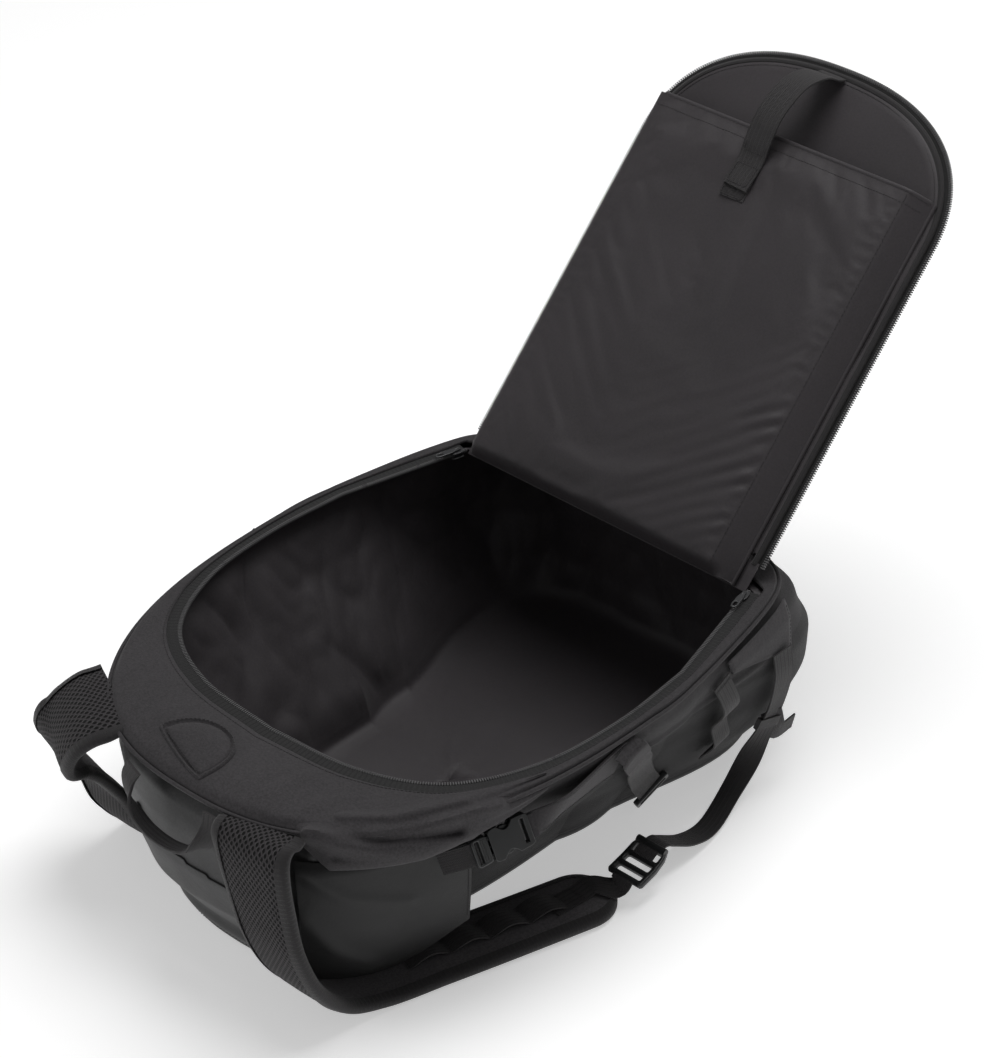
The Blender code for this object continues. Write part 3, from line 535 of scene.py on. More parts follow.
def capsules(name, centres, directions, ups, length, radius, look, flat=1.0, sides=6):
    """Many small rounded bars in one mesh: stitches, or a zip's teeth."""
    centres, directions = np.asarray(centres, float), unit(np.asarray(directions, float))
    ups = np.broadcast_to(np.asarray(ups, float), centres.shape)
    beside = unit(np.cross(directions, ups))
    ups = np.cross(beside, directions)
    turn = circle(sides)
    stations = ((-0.5, 0.45), (-0.36, 1.0), (0.36, 1.0), (0.5, 0.45))
    rings = [
        centres[:, None] + directions[:, None] * length * t
        + radius * scale * (
            beside[:, None] * np.cos(turn)[:, None] + ups[:, None] * np.sin(turn)[:, None] * flat
        )
        for t, scale in stations
    ]
    points = np.stack(rings, axis=1)
    count = len(stations) * sides
    quads, _ = grid_faces(len(stations), sides, True)
    every = (np.arange(len(centres)) * count)[:, None, None]
    faces = (quads[None] + every).reshape(-1, 4).tolist()
    first, last = np.arange(sides)[::-1], np.arange(sides) + count - sides
    faces += (first[None] + every[:, 0]).tolist() + (last[None] + every[:, 0]).tolist()
    data = bpy.data.meshes.new(name)
    data.from_pydata(points.reshape(-1, 3).tolist(), [], faces)
    data.shade_smooth()
    return new_object(name, data, look)


def stitches(name, path, up, pitch=0.0032, length=0.0024, radius=0.00032):
    """A row of thread stitches along a path, half sunk in the cloth."""
    path = even(path, pitch)
    middles = (path[1:] + path[:-1]) / 2
    return capsules(name, middles, np.diff(path, axis=0), up, length, radius, "thread", sides=5)


WEB_SECTION = (
    (-1, -0.3), (-0.97, -1), (-0.5, -1), (0, -1), (0.5, -1), (0.97, -1), (1, -0.3), (1, 0.3), (0.97, 1),
    (0.5, 1), (0, 1), (-0.5, 1), (-0.97, 1), (-1, 0.3),
)


def frames(path, across):
    along = unit(np.gradient(path, axis=0))
    across = np.broadcast_to(np.asarray(across, float), path.shape)
    across = unit(across - along * (across * along).sum(1, keepdims=True))
    return along, across, np.cross(across, along)


def ribbon(name, path, across, half, thick, look="webbing", section=WEB_SECTION, pitch=0.004):
    """A strap along a path. `across` and `half` may be given at each of the path's points."""
    path = np.asarray(path, float)
    travelled = along_of(path)
    stops = np.linspace(0, travelled[-1], max(3, round(travelled[-1] / pitch) + 1))

    def resample(values):
        values = np.broadcast_to(
            np.asarray(values, float), (len(path), *np.shape(values)[1:]),
        ) if np.ndim(values) else np.full(len(path), values)
        if values.ndim == 1:
            return np.interp(stops, travelled, values)
        return np.stack(
            [np.interp(stops, travelled, values[:, k]) for k in range(values.shape[1])], axis=1,
        )

    if np.ndim(across) == 1:
        across = np.broadcast_to(np.asarray(across, float), path.shape)
    path_fine, across_fine, half_fine = resample(path), resample(across), resample(half)
    _, side, up = frames(path_fine, across_fine)
    section = np.array(section, float)
    points = (
        path_fine[:, None]
        + side[:, None] * (section[None, :, 0] * half_fine[:, None])[..., None]
        + up[:, None] * (section[None, :, 1] * thick / 2)[..., None]
    )
    return grid(name, points, look, closed=True, caps=True)


def tube(name, path, radius, look, up=(0, 0, 1), flat=1.0, closed_path=False, sides=10):
    path = np.asarray(path, float)
    if closed_path:
        path = np.vstack([path, path[:1]])
    _, side, lift = frames(path, np.cross(np.gradient(path, axis=0), np.asarray(up, float)))
    turn = circle(sides)
    points = path[:, None] + radius * (
        side[:, None] * np.cos(turn)[:, None] + lift[:, None] * np.sin(turn)[:, None] * flat
    )
    return grid(name, points, look, closed=True, caps=not closed_path)


def moulded(name, outline, holes, thick, bevel, matrix, look="acetal_plastic"):
    """A flat moulding with rounded edges: a 2D curve with holes, extruded and bevelled."""
    data = bpy.data.curves.new(name, "CURVE")
    data.dimensions = "2D"
    data.fill_mode = "BOTH"
    data.extrude = thick / 2 - bevel
    data.bevel_depth = bevel
    data.bevel_resolution = 2
    data.offset = -bevel
    for shape in (outline, *holes):
        line = data.splines.new("POLY")
        line.points.add(len(shape) - 1)
        for point, (x, y) in zip(line.points, shape):
            point.co = (x, y, 0.0, 1.0)
        line.use_cyclic_u = True
    made = bpy.data.objects.new(name, data)
    bpy.context.scene.collection.objects.link(made)
    data.materials.append(LOOKS[look])
    made.matrix_world = matrix
    bpy.context.view_layer.update()
    return joined(name + "_mesh", [made])


def rounded(half_x, half_y, corner, centre=(0.0, 0.0), steps=5):
    """A rectangle outline with round corners."""
    points = []
    for quarter, (sx, sy) in enumerate(((1, 1), (-1, 1), (-1, -1), (1, -1))):
        for t in np.linspace(0, math.pi / 2, steps):
            turn = t + quarter * math.pi / 2
            x = centre[0] + sx * (half_x - corner) + corner * math.cos(turn)
            points.append((x, centre[1] + sy * (half_y - corner) + corner * math.sin(turn)))
    return points


def placed(origin, x_axis, y_axis, z_axis):
    made = Matrix((x_axis, y_axis, z_axis)).transposed().to_4x4()
    made.translation = origin
    return made


# ---- plan outlines --------------------------------------------------------------------------------
def sideways(path):
    along = unit(np.gradient(np.asarray(path, float), axis=0))
    return np.stack([along[:, 1], -along[:, 0]], axis=1)


def level_outline(head, foot, half, foot_half, steps=241):
    """Half of the bag's plan outline at one height, from its head end round +X to its foot end."""
    turn = np.linspace(-math.pi / 2, math.pi / 2, steps)
    power = np.where(turn < 0, 2 / HEAD_POWER, 2 / FOOT_POWER)
    reach = np.where(turn < 0, MIDDLE_Y - head, foot - MIDDLE_Y)
    y = MIDDLE_Y + reach * np.sign(turn) * np.abs(np.sin(turn)) ** power
    width = half + (foot_half - half) * smooth_step(y, 0.02, 0.22)
    return np.stack([width * np.abs(np.cos(turn)) ** power, y], axis=1)


def opening_outline(offset=0.0, steps=24):
    curve = spline(OPENING_CURVE, steps)
    curve[0, 0] = 0.0
    straight = np.array([OPENING_CORNER], float)
    path = np.vstack(
        [curve, curve[-1] + (straight[0] - curve[-1]) * np.linspace(0.1, 0.9, 9)[:, None], straight]
    )
    moved = path + sideways(path) * offset
    moved[0] = (0.0, path[0, 1] - offset)
    side = unit(np.array(OPENING_CORNER) - np.array(OPENING_CURVE[-1]))
    corner = straight[0] + offset * np.array([side[1] + (1 + side[0]) * -side[0] / side[1], 1.0])
    return np.vstack([moved[:-1], corner, (0.0, corner[1])])


RING = np.linspace(-90, 270, 721)[:-1]


def around(outline, angles):
    """Where rays from the origin at those angles cross the whole outline."""
    angles = np.asarray(angles, float)
    turned = np.where(angles > 90, 180 - angles, np.where(angles < -90, -180 - angles, angles))
    heading = np.degrees(np.arctan2(outline[:, 1], outline[:, 0]))
    distance = np.interp(turned, heading, np.hypot(outline[:, 0], outline[:, 1]))
    turn = np.radians(angles)
    return np.stack([distance * np.cos(turn), distance * np.sin(turn)], axis=-1)


def level_numbers(levels, z):
    heights = [level[0] for level in levels[::-1]]
    return [float(np.interp(z, heights, [level[k] for level in levels[::-1]])) for k in range(1, 5)]


def level_ring(levels, z, angles):
    return around(level_outline(*level_numbers(levels, z)), angles)


def half_width(y, z):
    outline = level_outline(*level_numbers(WALL_LEVELS, z))
    return float(np.interp(y, outline[:, 1], outline[:, 0]))


def on_wall(y, z, off, side=1):
    return (side * (half_width(y, z) + off), y, z)


# ---- bag ------------------------------------------------------------------------------------------
def ridged(points, outward, folds):
    """Moves points out along `outward` where they are near a fold: (polyline, width, height)."""
    for line, width, height in folds:
        amount = height * np.exp(-((near_line(points, line) / width) ** 2))
        points = points + outward * amount[..., None]
    return points


def make_yoke():
    inner = around(opening_outline(YOKE_EDGE), RING)
    seam = level_ring(WALL_LEVELS, WALL_LEVELS[0][0], RING)
    width = np.linalg.norm(seam - inner, axis=1, keepdims=True)
    inner = inner + (seam - inner) / width * np.minimum(0.0062, 0.36 * width)
    width = np.linalg.norm(seam - inner, axis=1)
    head = smooth_step(-np.sin(np.radians(RING)), 0.0, 0.6)
    rows = []
    for t in np.linspace(0, 1, 40):
        plan = inner + (seam - inner) * t
        dome = (0.010 + 0.055 * head) * width * math.sin(math.pi * t) ** 0.8
        edge = -0.0016 * (1 - min(t / 0.05, 1)) ** 2
        drop = -0.0042 * smooth_step(t, 0.86, 1.0) ** 2
        rows.append(np.column_stack([plan, RIM_Z + 0.0012 + dome + edge + drop]))
    points = np.array(rows)
    fade = np.sin(np.linspace(0, math.pi, 40))[:, None] * (0.3 + 0.7 * head)[None]
    points[..., 2] += (
        rough(points, 0.075, 1) * 0.0030 + rough(points * (1.6, 0.7, 1), 0.028, 2) * 0.0012
    ) * fade
    # drag folds where the shoulder straps pull on the yoke
    for x, lean in ((0.083, 0.35), (-0.112, -0.6)):
        for k in (-1, 0, 1):
            line = (
                (x + 0.030 * k, -0.300, RIM_Z), (x + 0.034 * k + 0.030 * lean, -0.262, RIM_Z + 0.004),
                (x + 0.04 * k + 0.07 * lean, -0.225, RIM_Z),
            )
            points[..., 2] += 0.0016 * np.exp(-((near_line(points, line) / 0.006) ** 2)) * fade
    yoke = piece(
        grid("yoke_cloth", points, "canvas", closed=True, thick=CLOTH_THICK, up=(0, 0, 1)), "bag",
        "canvas", "yoke_panel",
    )
    line = points[3] + (0, 0, 0.0003)
    piece(stitches("yoke_stitches", np.vstack([line, line[:1]]), (0, 0, 1)), "bag", "canvas")
    return yoke


def make_wall():
    levels = np.concatenate([
        [SEAM_WELT_Z, 0.1812, 0.1795], np.linspace(0.177, FLOOR_TOP + 0.002, 60),
        [FLOOR_TOP, FLOOR_TOP - 0.002],
    ])
    points = np.array([at_height(level_ring(WALL_LEVELS, z, RING), z) for z in levels])
    kernel = np.array([1, 2, 3, 2, 1]) / 9.0
    for k in range(2):
        padded = np.concatenate([points[:1, :, k]] * 2 + [points[:, :, k]] + [points[-1:, :, k]] * 2)
        points[:, :, k] = sum(w * padded[i : i + len(levels)] for i, w in enumerate(kernel))
    outward = np.concatenate([unit(points[..., :2]), np.zeros((*points.shape[:2], 1))], axis=-1)
    z, y = points[..., 2], points[..., 1]
    fade = smooth_step(0.183 - z, 0, 0.012) * smooth_step(z, 0.008, 0.04)
    amount = rough(points * (1, 1, 2.2), 0.085, 3) * 0.0035 + rough(points, 0.030, 4) * 0.0010
    band = BAND_Z + 0.012 * smooth_step(y, -0.12, 0.10)
    along_side = smooth_step(y, -0.15, -0.08) * smooth_step(0.20 - y, 0, 0.05)
    below = smooth_step(band - z, 0.002, 0.012) * smooth_step(z - 0.09, 0, 0.03)
    hem = np.exp(-(((z - band) / 0.0035) ** 2)) * 0.0028 - 0.0045 * below
    points = points + outward * (amount * fade + hem * along_side)[..., None]
    points[0] -= outward[0] * 0.0022
    points[1] -= outward[1] * 0.0008
    # Faces below the band get the darkest canvas look, painted shade on the undercut wall; faces above it get
    # the side canvas look, also painted shade.
    lower = (z < band - 0.002)[:-1] & np.ones((1, len(RING)), bool)
    wall = grid(
        "wall_cloth", points, "canvas_side", "canvas_painted_deep_shade", closed=True, thick=0.0014, second=lower,
    )
    return piece(fix_outward(wall), "bag", "canvas", "side_wall")


def fix_outward(obj):
    """Turns an open surface's faces round where they point at the bag's middle."""
    data = obj.data
    centre = Vector((0, 0, 0.1))
    score = sum((face.center - centre).dot(face.normal) * face.area for face in data.polygons)
    if score < 0:
        data.flip_normals()
    return obj


def make_seam():
    plan = level_ring(WALL_LEVELS, WALL_LEVELS[0][0], RING)
    path = at_height(pushed(plan, 0.0016), SEAM_WELT_Z)
    piece(
        tube("seam_welt", path, 0.0017, "canvas", closed_path=True, sides=8), "bag", "canvas",
        "seam_piping",
    )


def make_front_panel():
    edge = around(level_outline(*WALL_LEVELS[-1][1:]), RING[::3]) * 0.992
    rows = []
    for share, z in (
        (0.05, 0.0), (0.4, 0.0), (0.7, 0.0), (0.9, 0.0), (0.972, 0.0004), (0.992, 0.002), (1.0, 0.005),
        (0.992, 0.008), (0.97, 0.0098), (0.9, 0.0100), (0.5, 0.0100), (0.05, 0.0100),
    ):
        rows.append(at_height(edge * share, z))
    panel = grid("front_cushion", rows, "coated_fabric", closed=True, caps=True)
    piece(fix_outward(panel), "bag", "coated_fabric", "front_panel")


def make_lining():
    rows = [at_height(around(opening_outline(0.0035), RING), BODY_ZIP_Z - 0.0020)]
    for z in np.linspace(0.176, 0.024, 40):
        inset = 0.0075 + 0.004 * (0.176 - z) / 0.15
        plan = level_ring(WALL_LEVELS, z, RING)
        rows.append(at_height(pushed(plan, -inset), z))
    base = rows[-1][:, :2]
    for share, z in (
        (0.985, 0.018), (0.96, 0.0145), (0.92, 0.013),
        *[(s, 0.0125) for s in (0.8, 0.65, 0.5, 0.35, 0.2, 0.1, 0.002)],
    ):
        rows.append(at_height(base * share, z))
    points = np.array(rows)
    inward = np.concatenate([-unit(points[..., :2]), np.zeros((*points.shape[:2], 1))], axis=-1)
    depth = smooth_step(points[..., 2], 0.012, 0.05) * smooth_step(0.186 - points[..., 2], 0.0, 0.03)
    folds = np.abs(
        rough(points * (1, 1, 0.35), 0.050, 5)
    ) * 0.013 + np.abs(rough(points * (1, 1, 0.6), 0.022, 6)) * 0.003
    points = points + inward * (folds * depth)[..., None]
    ground = smooth_step(0.03 - points[..., 2], 0, 0.015)
    points[..., 2] += ground * (0.5 + 0.5 * rough(points, 0.06, 7)) * 0.004
    lining = fix_outward(grid("lining_cloth", points, "lining", closed=True, thick=0.0006))
    lining.data.flip_normals()
    piece(lining, "bag", "lining", "bag_lining")


def make_zip(name, path, z_of, tape_side, body, node, lift=(0, 0, 1), to_world=None, tape_in=0.0130):
    """Coil teeth and woven tape along a plan path; the tape lies to that side of it."""
    fine = even(path, 0.0021)
    out = sideways(fine) * tape_side
    place = to_world or (lambda plan, height: at_height(plan, z_of + height))
    centres = place(fine + out * 0.0002, 0.0003)
    inner = place(fine + out * 0.0012, 0.0003)
    # The teeth get the light grey nylon look: black nylon with painted highlights.
    teeth = capsules(
        name + "_teeth", centres, centres - inner, lift, 0.0042, 0.00074, "zip_nylon", flat=1.9,
    )
    coarse = even(path, 0.003)
    out = sideways(coarse) * tape_side
    core = tube(name + "_core", place(coarse + out * 0.0008, 0.0), 0.0009, "zip_tape", up=lift, sides=6)
    strips = [(0.0010, 0.0004), (0.0024, 0.0006), (0.0042, 0.0005), (0.0064, 0.0006), (tape_in, 0.0002)]
    tape = grid(
        name + "_tape", [place(coarse + out * d, h) for d, h in strips], "zip_tape", thick=0.0007,
        up=lift,
    )
    whole = joined(name + "_coil", [teeth, core, tape])
    return piece(whole, body, "zip_nylon", node)


def make_body_zip():
    half = opening_outline(0.0)[:-1]
    path = np.vstack([half[:0:-1] * (-1, 1), half])
    make_zip("body_zip", path, BODY_ZIP_Z, 1, "bag", "body_zip")


def make_port():
    """Half-round reinforced patch on the yoke, with a raised welt."""
    turn = circle(96)
    x, y = np.cos(turn), np.sin(turn)
    outline = np.column_stack(
        [x * PORT_HALF, np.where(y > 0, y.clip(0) ** 0.8, y.clip(None, 0) * 0.10) * PORT_DEPTH]
    )
    centre = np.array([0.0, PORT_DEPTH * 0.42])
    heading = np.array(
        [[math.cos(PORT_TURN), -math.sin(PORT_TURN)], [math.sin(PORT_TURN), math.cos(PORT_TURN)]]
    )
    rows = []
    welt = (
        (1.0, -0.0008), (0.995, 0.0014), (0.965, 0.0026), (0.93, 0.0024), (0.905, 0.0008), (0.86, 0.0002),
    )
    for share, lift in (
        *welt, (0.835, 0.0012), (0.80, 0.0019), (0.6, 0.0030), (0.4, 0.0036), (0.2, 0.0038),
        (0.02, 0.0039),
    ):
        plan = (centre + (outline - centre) * share) @ heading.T + PORT_CENTRE
        rows.append(at_height(plan, lift))
    points = np.array(rows)
    points[..., 2] += yoke_height(points[..., 1])
    patch = grid("port_cloth", points, "canvas", closed=True, caps=True, up=(0, 0, 1))
    line = (centre + (outline - centre) * 0.95) @ heading.T + PORT_CENTRE
    line = line[np.sin(turn) > -0.15]
    path = np.column_stack([line, yoke_height(line[:, 1]) + 0.0027])
    piece(patch, "bag", "canvas", "port_patch")
    piece(stitches("port_stitches", path, (0, 0, 1), pitch=0.0034), "bag", "canvas")


def yoke_height(y):
    """About how high the yoke's cloth is there, at the head end."""
    inner, seam = -0.211, -0.297
    t = np.clip((inner - y) / (inner - seam), 0, 1)
    crown = 0.065 * 0.086 * np.sin(math.pi * t) ** 0.8
    return RIM_Z + 0.0012 + crown - 0.0042 * smooth_step(t, 0.86, 1.0) ** 2


FLAP_FOLDS = (
    (((0.112, -0.268, 0.150), (0.135, -0.225, 0.150), (0.165, -0.170, 0.152)), 0.007, 0.004),
    (((0.118, -0.262, 0.158), (0.122, -0.262, 0.120), (0.118, -0.262, 0.070)), 0.010, -0.004),
    (((0.150, -0.205, 0.140), (0.155, -0.190, 0.080), (0.150, -0.190, 0.040)), 0.014, 0.003),
)


def make_flap():
    """The roll-top: coated cloth folded down over the head end and tucked under at its corners."""
    angles = np.linspace(-90 - FLAP_HALF_ANGLE, -90 + FLAP_HALF_ANGLE, 181)
    tilt = np.abs(angles + 90) / FLAP_HALF_ANGLE
    low = 0.004 + 0.046 * smooth_step(tilt, 0.80, 1.0)
    points = []
    for v in np.linspace(0, 1, 60):
        z = 0.1808 + (low - 0.1808) * v
        near = np.array([level_ring(WALL_LEVELS, height, [a])[0] for height, a in zip(z, angles)])
        far = np.array([level_ring(FLAP_LEVELS, height, [a])[0] for height, a in zip(z, angles)])
        near = pushed(near, 0.0016)
        ends = np.where(
            angles > -90, np.interp(tilt, (0, 0.46, 0.62, 1), (1, 1, 0.38, 0.25)),
            np.clip((1 - tilt) / 0.10, 0.3, 1),
        )
        thin = ends * smooth_step(v, 0.0, 0.16)
        tuck = 1 - 0.25 * smooth_step(v, 0.93, 1.0)
        points.append(np.column_stack([near + (far - near) * (thin * tuck)[:, None], z]))
    points = np.array(points)
    outward = normals_of(points)
    if (outward[..., :2] * points[..., :2]).sum() < 0:
        outward = -outward
    v = np.linspace(0, 1, 60)
    fade = (smooth_step(v, 0.05, 0.2) * smooth_step(1 - v, 0, 0.1))[:, None]
    amount = rough(points * (1, 1, 0.6), 0.07, 8) * 0.0032 + rough(points, 0.025, 9) * 0.0008
    points = points + outward * (amount * fade)[..., None]
    mirrored = [(tuple((-x, y, z) for x, y, z in line), w, h) for line, w, h in FLAP_FOLDS]
    points = ridged(points, outward, [*FLAP_FOLDS, *mirrored])
    flap = grid("rolltop_cloth", points, "coated_fabric", thick=CLOTH_THICK)
    piece(fix_outward(flap), "bag", "coated_fabric", "rolltop_flap")
    # the seam of the panel between the straps
    lower = np.array([(-0.075, 0.118), (-0.020, 0.100), (0.040, 0.094), (0.074, 0.100), (0.078, 0.165)])
    line = []
    for x, z in even(spline(lower, 8), 0.004):
        column = np.abs(points[:, :, 0] - x) + np.abs(points[:, :, 2] - z) + 9 * (points[:, :, 1] > 0)
        i = np.unravel_index(column.argmin(), column.shape)
        line.append(points[i] + outward[i] * 0.0008)
    seam = tube("rolltop_seam", np.array(line), 0.0009, "coated_fabric", up=(0, -1, 0.2), sides=6)
    hem = points[-3] + outward[-3] * 0.0006
    row = stitches("thread", hem, (0, -1, 0.3), pitch=0.0036)
    piece(joined("rolltop_seams", [seam, row]), "bag", "coated_fabric")


# ---- side pieces ----------------------------------------------------------------------------------
def wall_patch(name, corners, off, side, look, crown=0.0, rows=14, columns=18):
    """A patch that follows the wall. Corners, (y, z): upper head, upper foot, lower foot, lower head."""
    upper_head, upper_foot, lower_foot, lower_head = np.array(corners, float)
    made = []
    for v in np.linspace(0, 1, rows):
        start = upper_head + (lower_head - upper_head) * v
        end = upper_foot + (lower_foot - upper_foot) * v
        crowns = crown * np.sin(
            math.pi * np.linspace(0, 1, columns)
        ) ** 0.5 * math.sin(math.pi * v) ** 0.5
        made.append([
            on_wall(*(start + (end - start) * u), off + c, side)
            for u, c in zip(np.linspace(0, 1, columns), crowns)
        ])
    patch = grid(name, made, look, thick=0.0018)
    return fix_outward(patch)


def make_wing(name, side):
    corners = ((0.116, 0.177), (0.218, 0.177), (0.207, 0.139), (0.121, 0.163))
    wing = wall_patch(f"wing_cloth_{name}", corners, 0.0046, side, "canvas", crown=0.0012)
    piece(wing, "bag", "canvas", f"strap_wing_{name}")
    ring = [(0.120, 0.175), (0.214, 0.175), (0.204, 0.1425), (0.125, 0.1635)]
    path = np.array([
        on_wall(y, z, 0.0062, side)
        for start, end in zip(ring[1:], ring[2:]) for y, z in np.linspace(start, end, 12)
    ])
    piece(stitches(f"wing_stitches_{name}", path, (side, 0, -0.3)), "bag", "canvas")


def bartack(path_point, along, across, up, width):
    """A dense zigzag of thread across a strap."""
    count = 12
    centres = np.array([path_point + across * width * (i / (count - 1) - 0.5) for i in range(count)])
    return capsules("tack", centres, np.tile(along, (count, 1)), up, 0.0030, 0.0004, "thread", sides=5)


def make_gear_loop(name, side):
    points = [on_wall(y, z, off, side) for y, z, off in (
        (0.104, 0.166, 0.004), (0.116, 0.135, 0.013), (0.124, 0.105, 0.006), (0.132, 0.080, 0.013),
        (0.140, 0.052, 0.005),
    )]
    path = spline(points, 8)
    strap = ribbon(f"gear_webbing_{name}", path, (0, 1, 0.2), 0.010, WEB_THICK)
    along, across, up = frames(path, (0, 1, 0.2))
    tacks = [
        bartack(path[i] + up[i] * 0.0009 * k, along[i], across[i], up[i], 0.017)
        for i in (1, 16, 31) for k in (1, -1)
    ]
    piece(joined(f"gear_loop_webbing_{name}", [strap, *tacks]), "bag", "webbing", f"gear_loop_{name}")


def make_compression_strap(name, side):
    route = np.column_stack([np.linspace(-0.020, 0.104, 25), np.linspace(0.170, 0.016, 25)])
    path = np.array([on_wall(y, z, 0.0095, side) for y, z in route])
    strap = ribbon("web", path, (0, 1, 0.15), 0.0135, WEB_THICK)
    along, across, up = frames(path, (0, 1, 0.15))
    outer = 1 if up[3] @ (side, 0, 0) > 0 else -1
    tack = bartack(path[2] + up[2] * 0.0010 * outer, along[2], across[2], up[2], 0.023)
    head = np.array([
        on_wall(-0.024, 0.176, 0.003, side), on_wall(-0.022, 0.173, 0.008, side),
        path[0] + up[0] * 0.002 * outer, path[3] + up[3] * 0.0021 * outer,
    ])
    cover = ribbon("cover", spline(head, 4), (0, 1, 0.15), 0.0142, 0.0016, look="canvas")
    piece(
        joined(f"compression_webbing_{name}", [strap, tack, cover]), "bag", "webbing",
        f"compression_strap_{name}",
    )
    down = unit(path[-5] - path[-9])
    side_way = unit(np.cross(np.cross(down, (0, 1, 0.15)), down))
    out = np.cross(side_way, down)
    if out[0] * side < 0:
        out, side_way = -out, -side_way
    centre = path[-2] + out * 0.0004
    matrix = placed(centre, side_way, np.cross(out, side_way), out)
    ring = moulded(
        "ring", rounded(0.0190, 0.0070, 0.0022), [rounded(0.0150, 0.0034, 0.0010)], 0.0052, 0.0011,
        matrix,
    )
    piece(
        rename(ring, f"slide_ring_{name}"), f"strap_slide_{name}", "acetal_plastic",
        f"slide_buckle_{name}",
    )


def rename(obj, name):
    obj.name = name
    obj.data.name = name
    return obj


# ---- side-release buckles -------------------------------------------------------------------------
def buckle_matrix(side):
    start = np.array(on_wall(-0.166, 0.145, 0.0225, side))
    end = np.array(on_wall(-0.118, 0.152, 0.0160, side))
    along = unit(end - start)
    out = unit(np.array([side * 0.86, -0.25, 0.40]))
    out = unit(out - along * (out @ along))
    return start, along, np.cross(out, along), out


PRONG_ARM = (
    (0.0073, 0.0058), (0.0160, 0.0056), (0.0240, 0.0058), (0.0286, 0.0076),
    (0.0290, 0.0092), (0.0270, 0.0104), (0.0240, 0.0122), (0.0205, 0.0124),
    (0.0190, 0.0112), (0.0185, 0.0094), (0.0150, 0.0090), (0.0073, 0.0094),
)


def make_buckle(name, side):
    start, along, wide, out = buckle_matrix(side)

    def at(height=0.0):
        return placed(start + out * height, along, wide, out)

    def mirrored(half):
        return [*half, *[(x, -y) for x, y in half[::-1]]]

    waist = [(0.0165 + 0.014 * t, 0.0140 - 0.0052 * math.sin(math.pi * t)) for t in np.linspace(0, 1, 13)]
    plate_outline = mirrored([
        (0.0085, 0.0112), (0.0095, 0.0132), (0.012, 0.0139), *waist, (0.034, 0.0140), (0.042, 0.0134),
        (0.0440, 0.0120),
    ])
    slot_hole = rounded(0.0018, 0.0105, 0.0008, (0.0380, 0.0))
    plates = [
        moulded("plate", plate_outline, [slot_hole], 0.0017, 0.0006, at(level * 0.0033))
        for level in (1, -1)
    ]
    back = mirrored([(0.0318, 0.0138), (0.042, 0.0133), (0.0438, 0.0118)])
    core = moulded("core", back, [slot_hole], 0.0054, 0.0003, at())
    cheeks = [
        moulded("cheek", [
            (0.0086, k * 0.0104), (0.0086, k * 0.0124), (0.0110, k * 0.0138), (0.0176, k * 0.0138),
            (0.0176, k * 0.0104),
        ], [], 0.0054, 0.0003, at())
        for k in (1, -1)
    ]
    bar = tube(
        "bar", np.array([start + along * 0.0412 + wide * w for w in (-0.0115, 0.0115)]), 0.0021,
        "acetal_plastic", up=out,
    )
    socket = joined(f"buckle_shell_{name}", [*plates, core, *cheeks, bar])
    piece(socket, "bag", "acetal_plastic", f"buckle_socket_{name}")

    plug_outline = mirrored([
        (-0.0070, 0.0080), (-0.0066, 0.0106), (-0.0050, 0.0119), (0.0020, 0.0119), (0.0060, 0.0112),
        (0.0070, 0.0095),
    ])
    plug_slot = rounded(0.0017, 0.0094, 0.0008, (-0.0025, 0.0))
    body = moulded("body", plug_outline, [plug_slot], 0.0082, 0.0012, at())
    grips = [tube(
        "grip", np.array([start + along * x + wide * w + out * 0.0040 for w in (-0.009, 0.009)]), 0.0006,
        "acetal_plastic", up=out,
    ) for x in (0.0018, 0.0038)]
    tongue = moulded(
        "tongue", mirrored([(0.0072, 0.0010), (0.0255, 0.0009), (0.0270, 0.0004)]), [], 0.0024, 0.0004,
        at(),
    )
    plug = joined(f"buckle_plug_body_{name}", [body, *grips, tongue])
    piece(plug, f"plug_{name}", "acetal_plastic", f"buckle_plug_{name}", f"buckle_tongue_{name}")

    for label, way in (("upper", 1), ("lower", -1)):
        prong = moulded("prong", [(x, y * way) for x, y in PRONG_ARM], [], 0.0036, 0.0007, at())
        node = f"buckle_prong_{label}_{name}"
        piece(rename(prong, f"prong_arm_{label}_{name}"), f"prong_{label}_{name}", "acetal_plastic", node)

    cloth, tail, wide = make_buckle_tab(name, side)
    fold = (
        tail + along * 0.004 + out * 0.0022, tail + out * 0.0016, tail - along * 0.0035 + out * 0.0006,
        tail - out * 0.0016, tail + along * 0.004 - out * 0.0020,
    )
    loop = ribbon("loop", spline(fold, 5), wide, 0.0100, 0.0012, look="canvas", pitch=0.0015)
    piece(joined(f"buckle_tab_cloth_{name}", [loop, *cloth]), "bag", "webbing", f"buckle_tab_{name}")
    strap_path = spline((
        start - along * 0.0025 + out * 0.003, start - along * 0.006, start - along * 0.014 - out * 0.003,
        on_wall(-0.190, 0.135, 0.020, side),
    ), 5)
    web = ribbon(f"plug_webbing_{name}", strap_path, wide, 0.0095, 0.0014)
    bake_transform(web)


# ---- lid ------------------------------------------------------------------------------------------
LID_ALONG = np.array([0.0, math.cos(LID_RISE), math.sin(LID_RISE)])
LID_UP = np.array([0.0, -math.sin(LID_RISE), math.cos(LID_RISE)])


def on_lid(points):
    """Points given as (x, distance from the hinge, height over the lid), in the row frame."""
    points = np.asarray(points, float)
    across = points[..., :1] * (1, 0, 0)
    return LID_ORIGIN + across + points[..., 1:2] * LID_ALONG + points[..., 2:3] * LID_UP


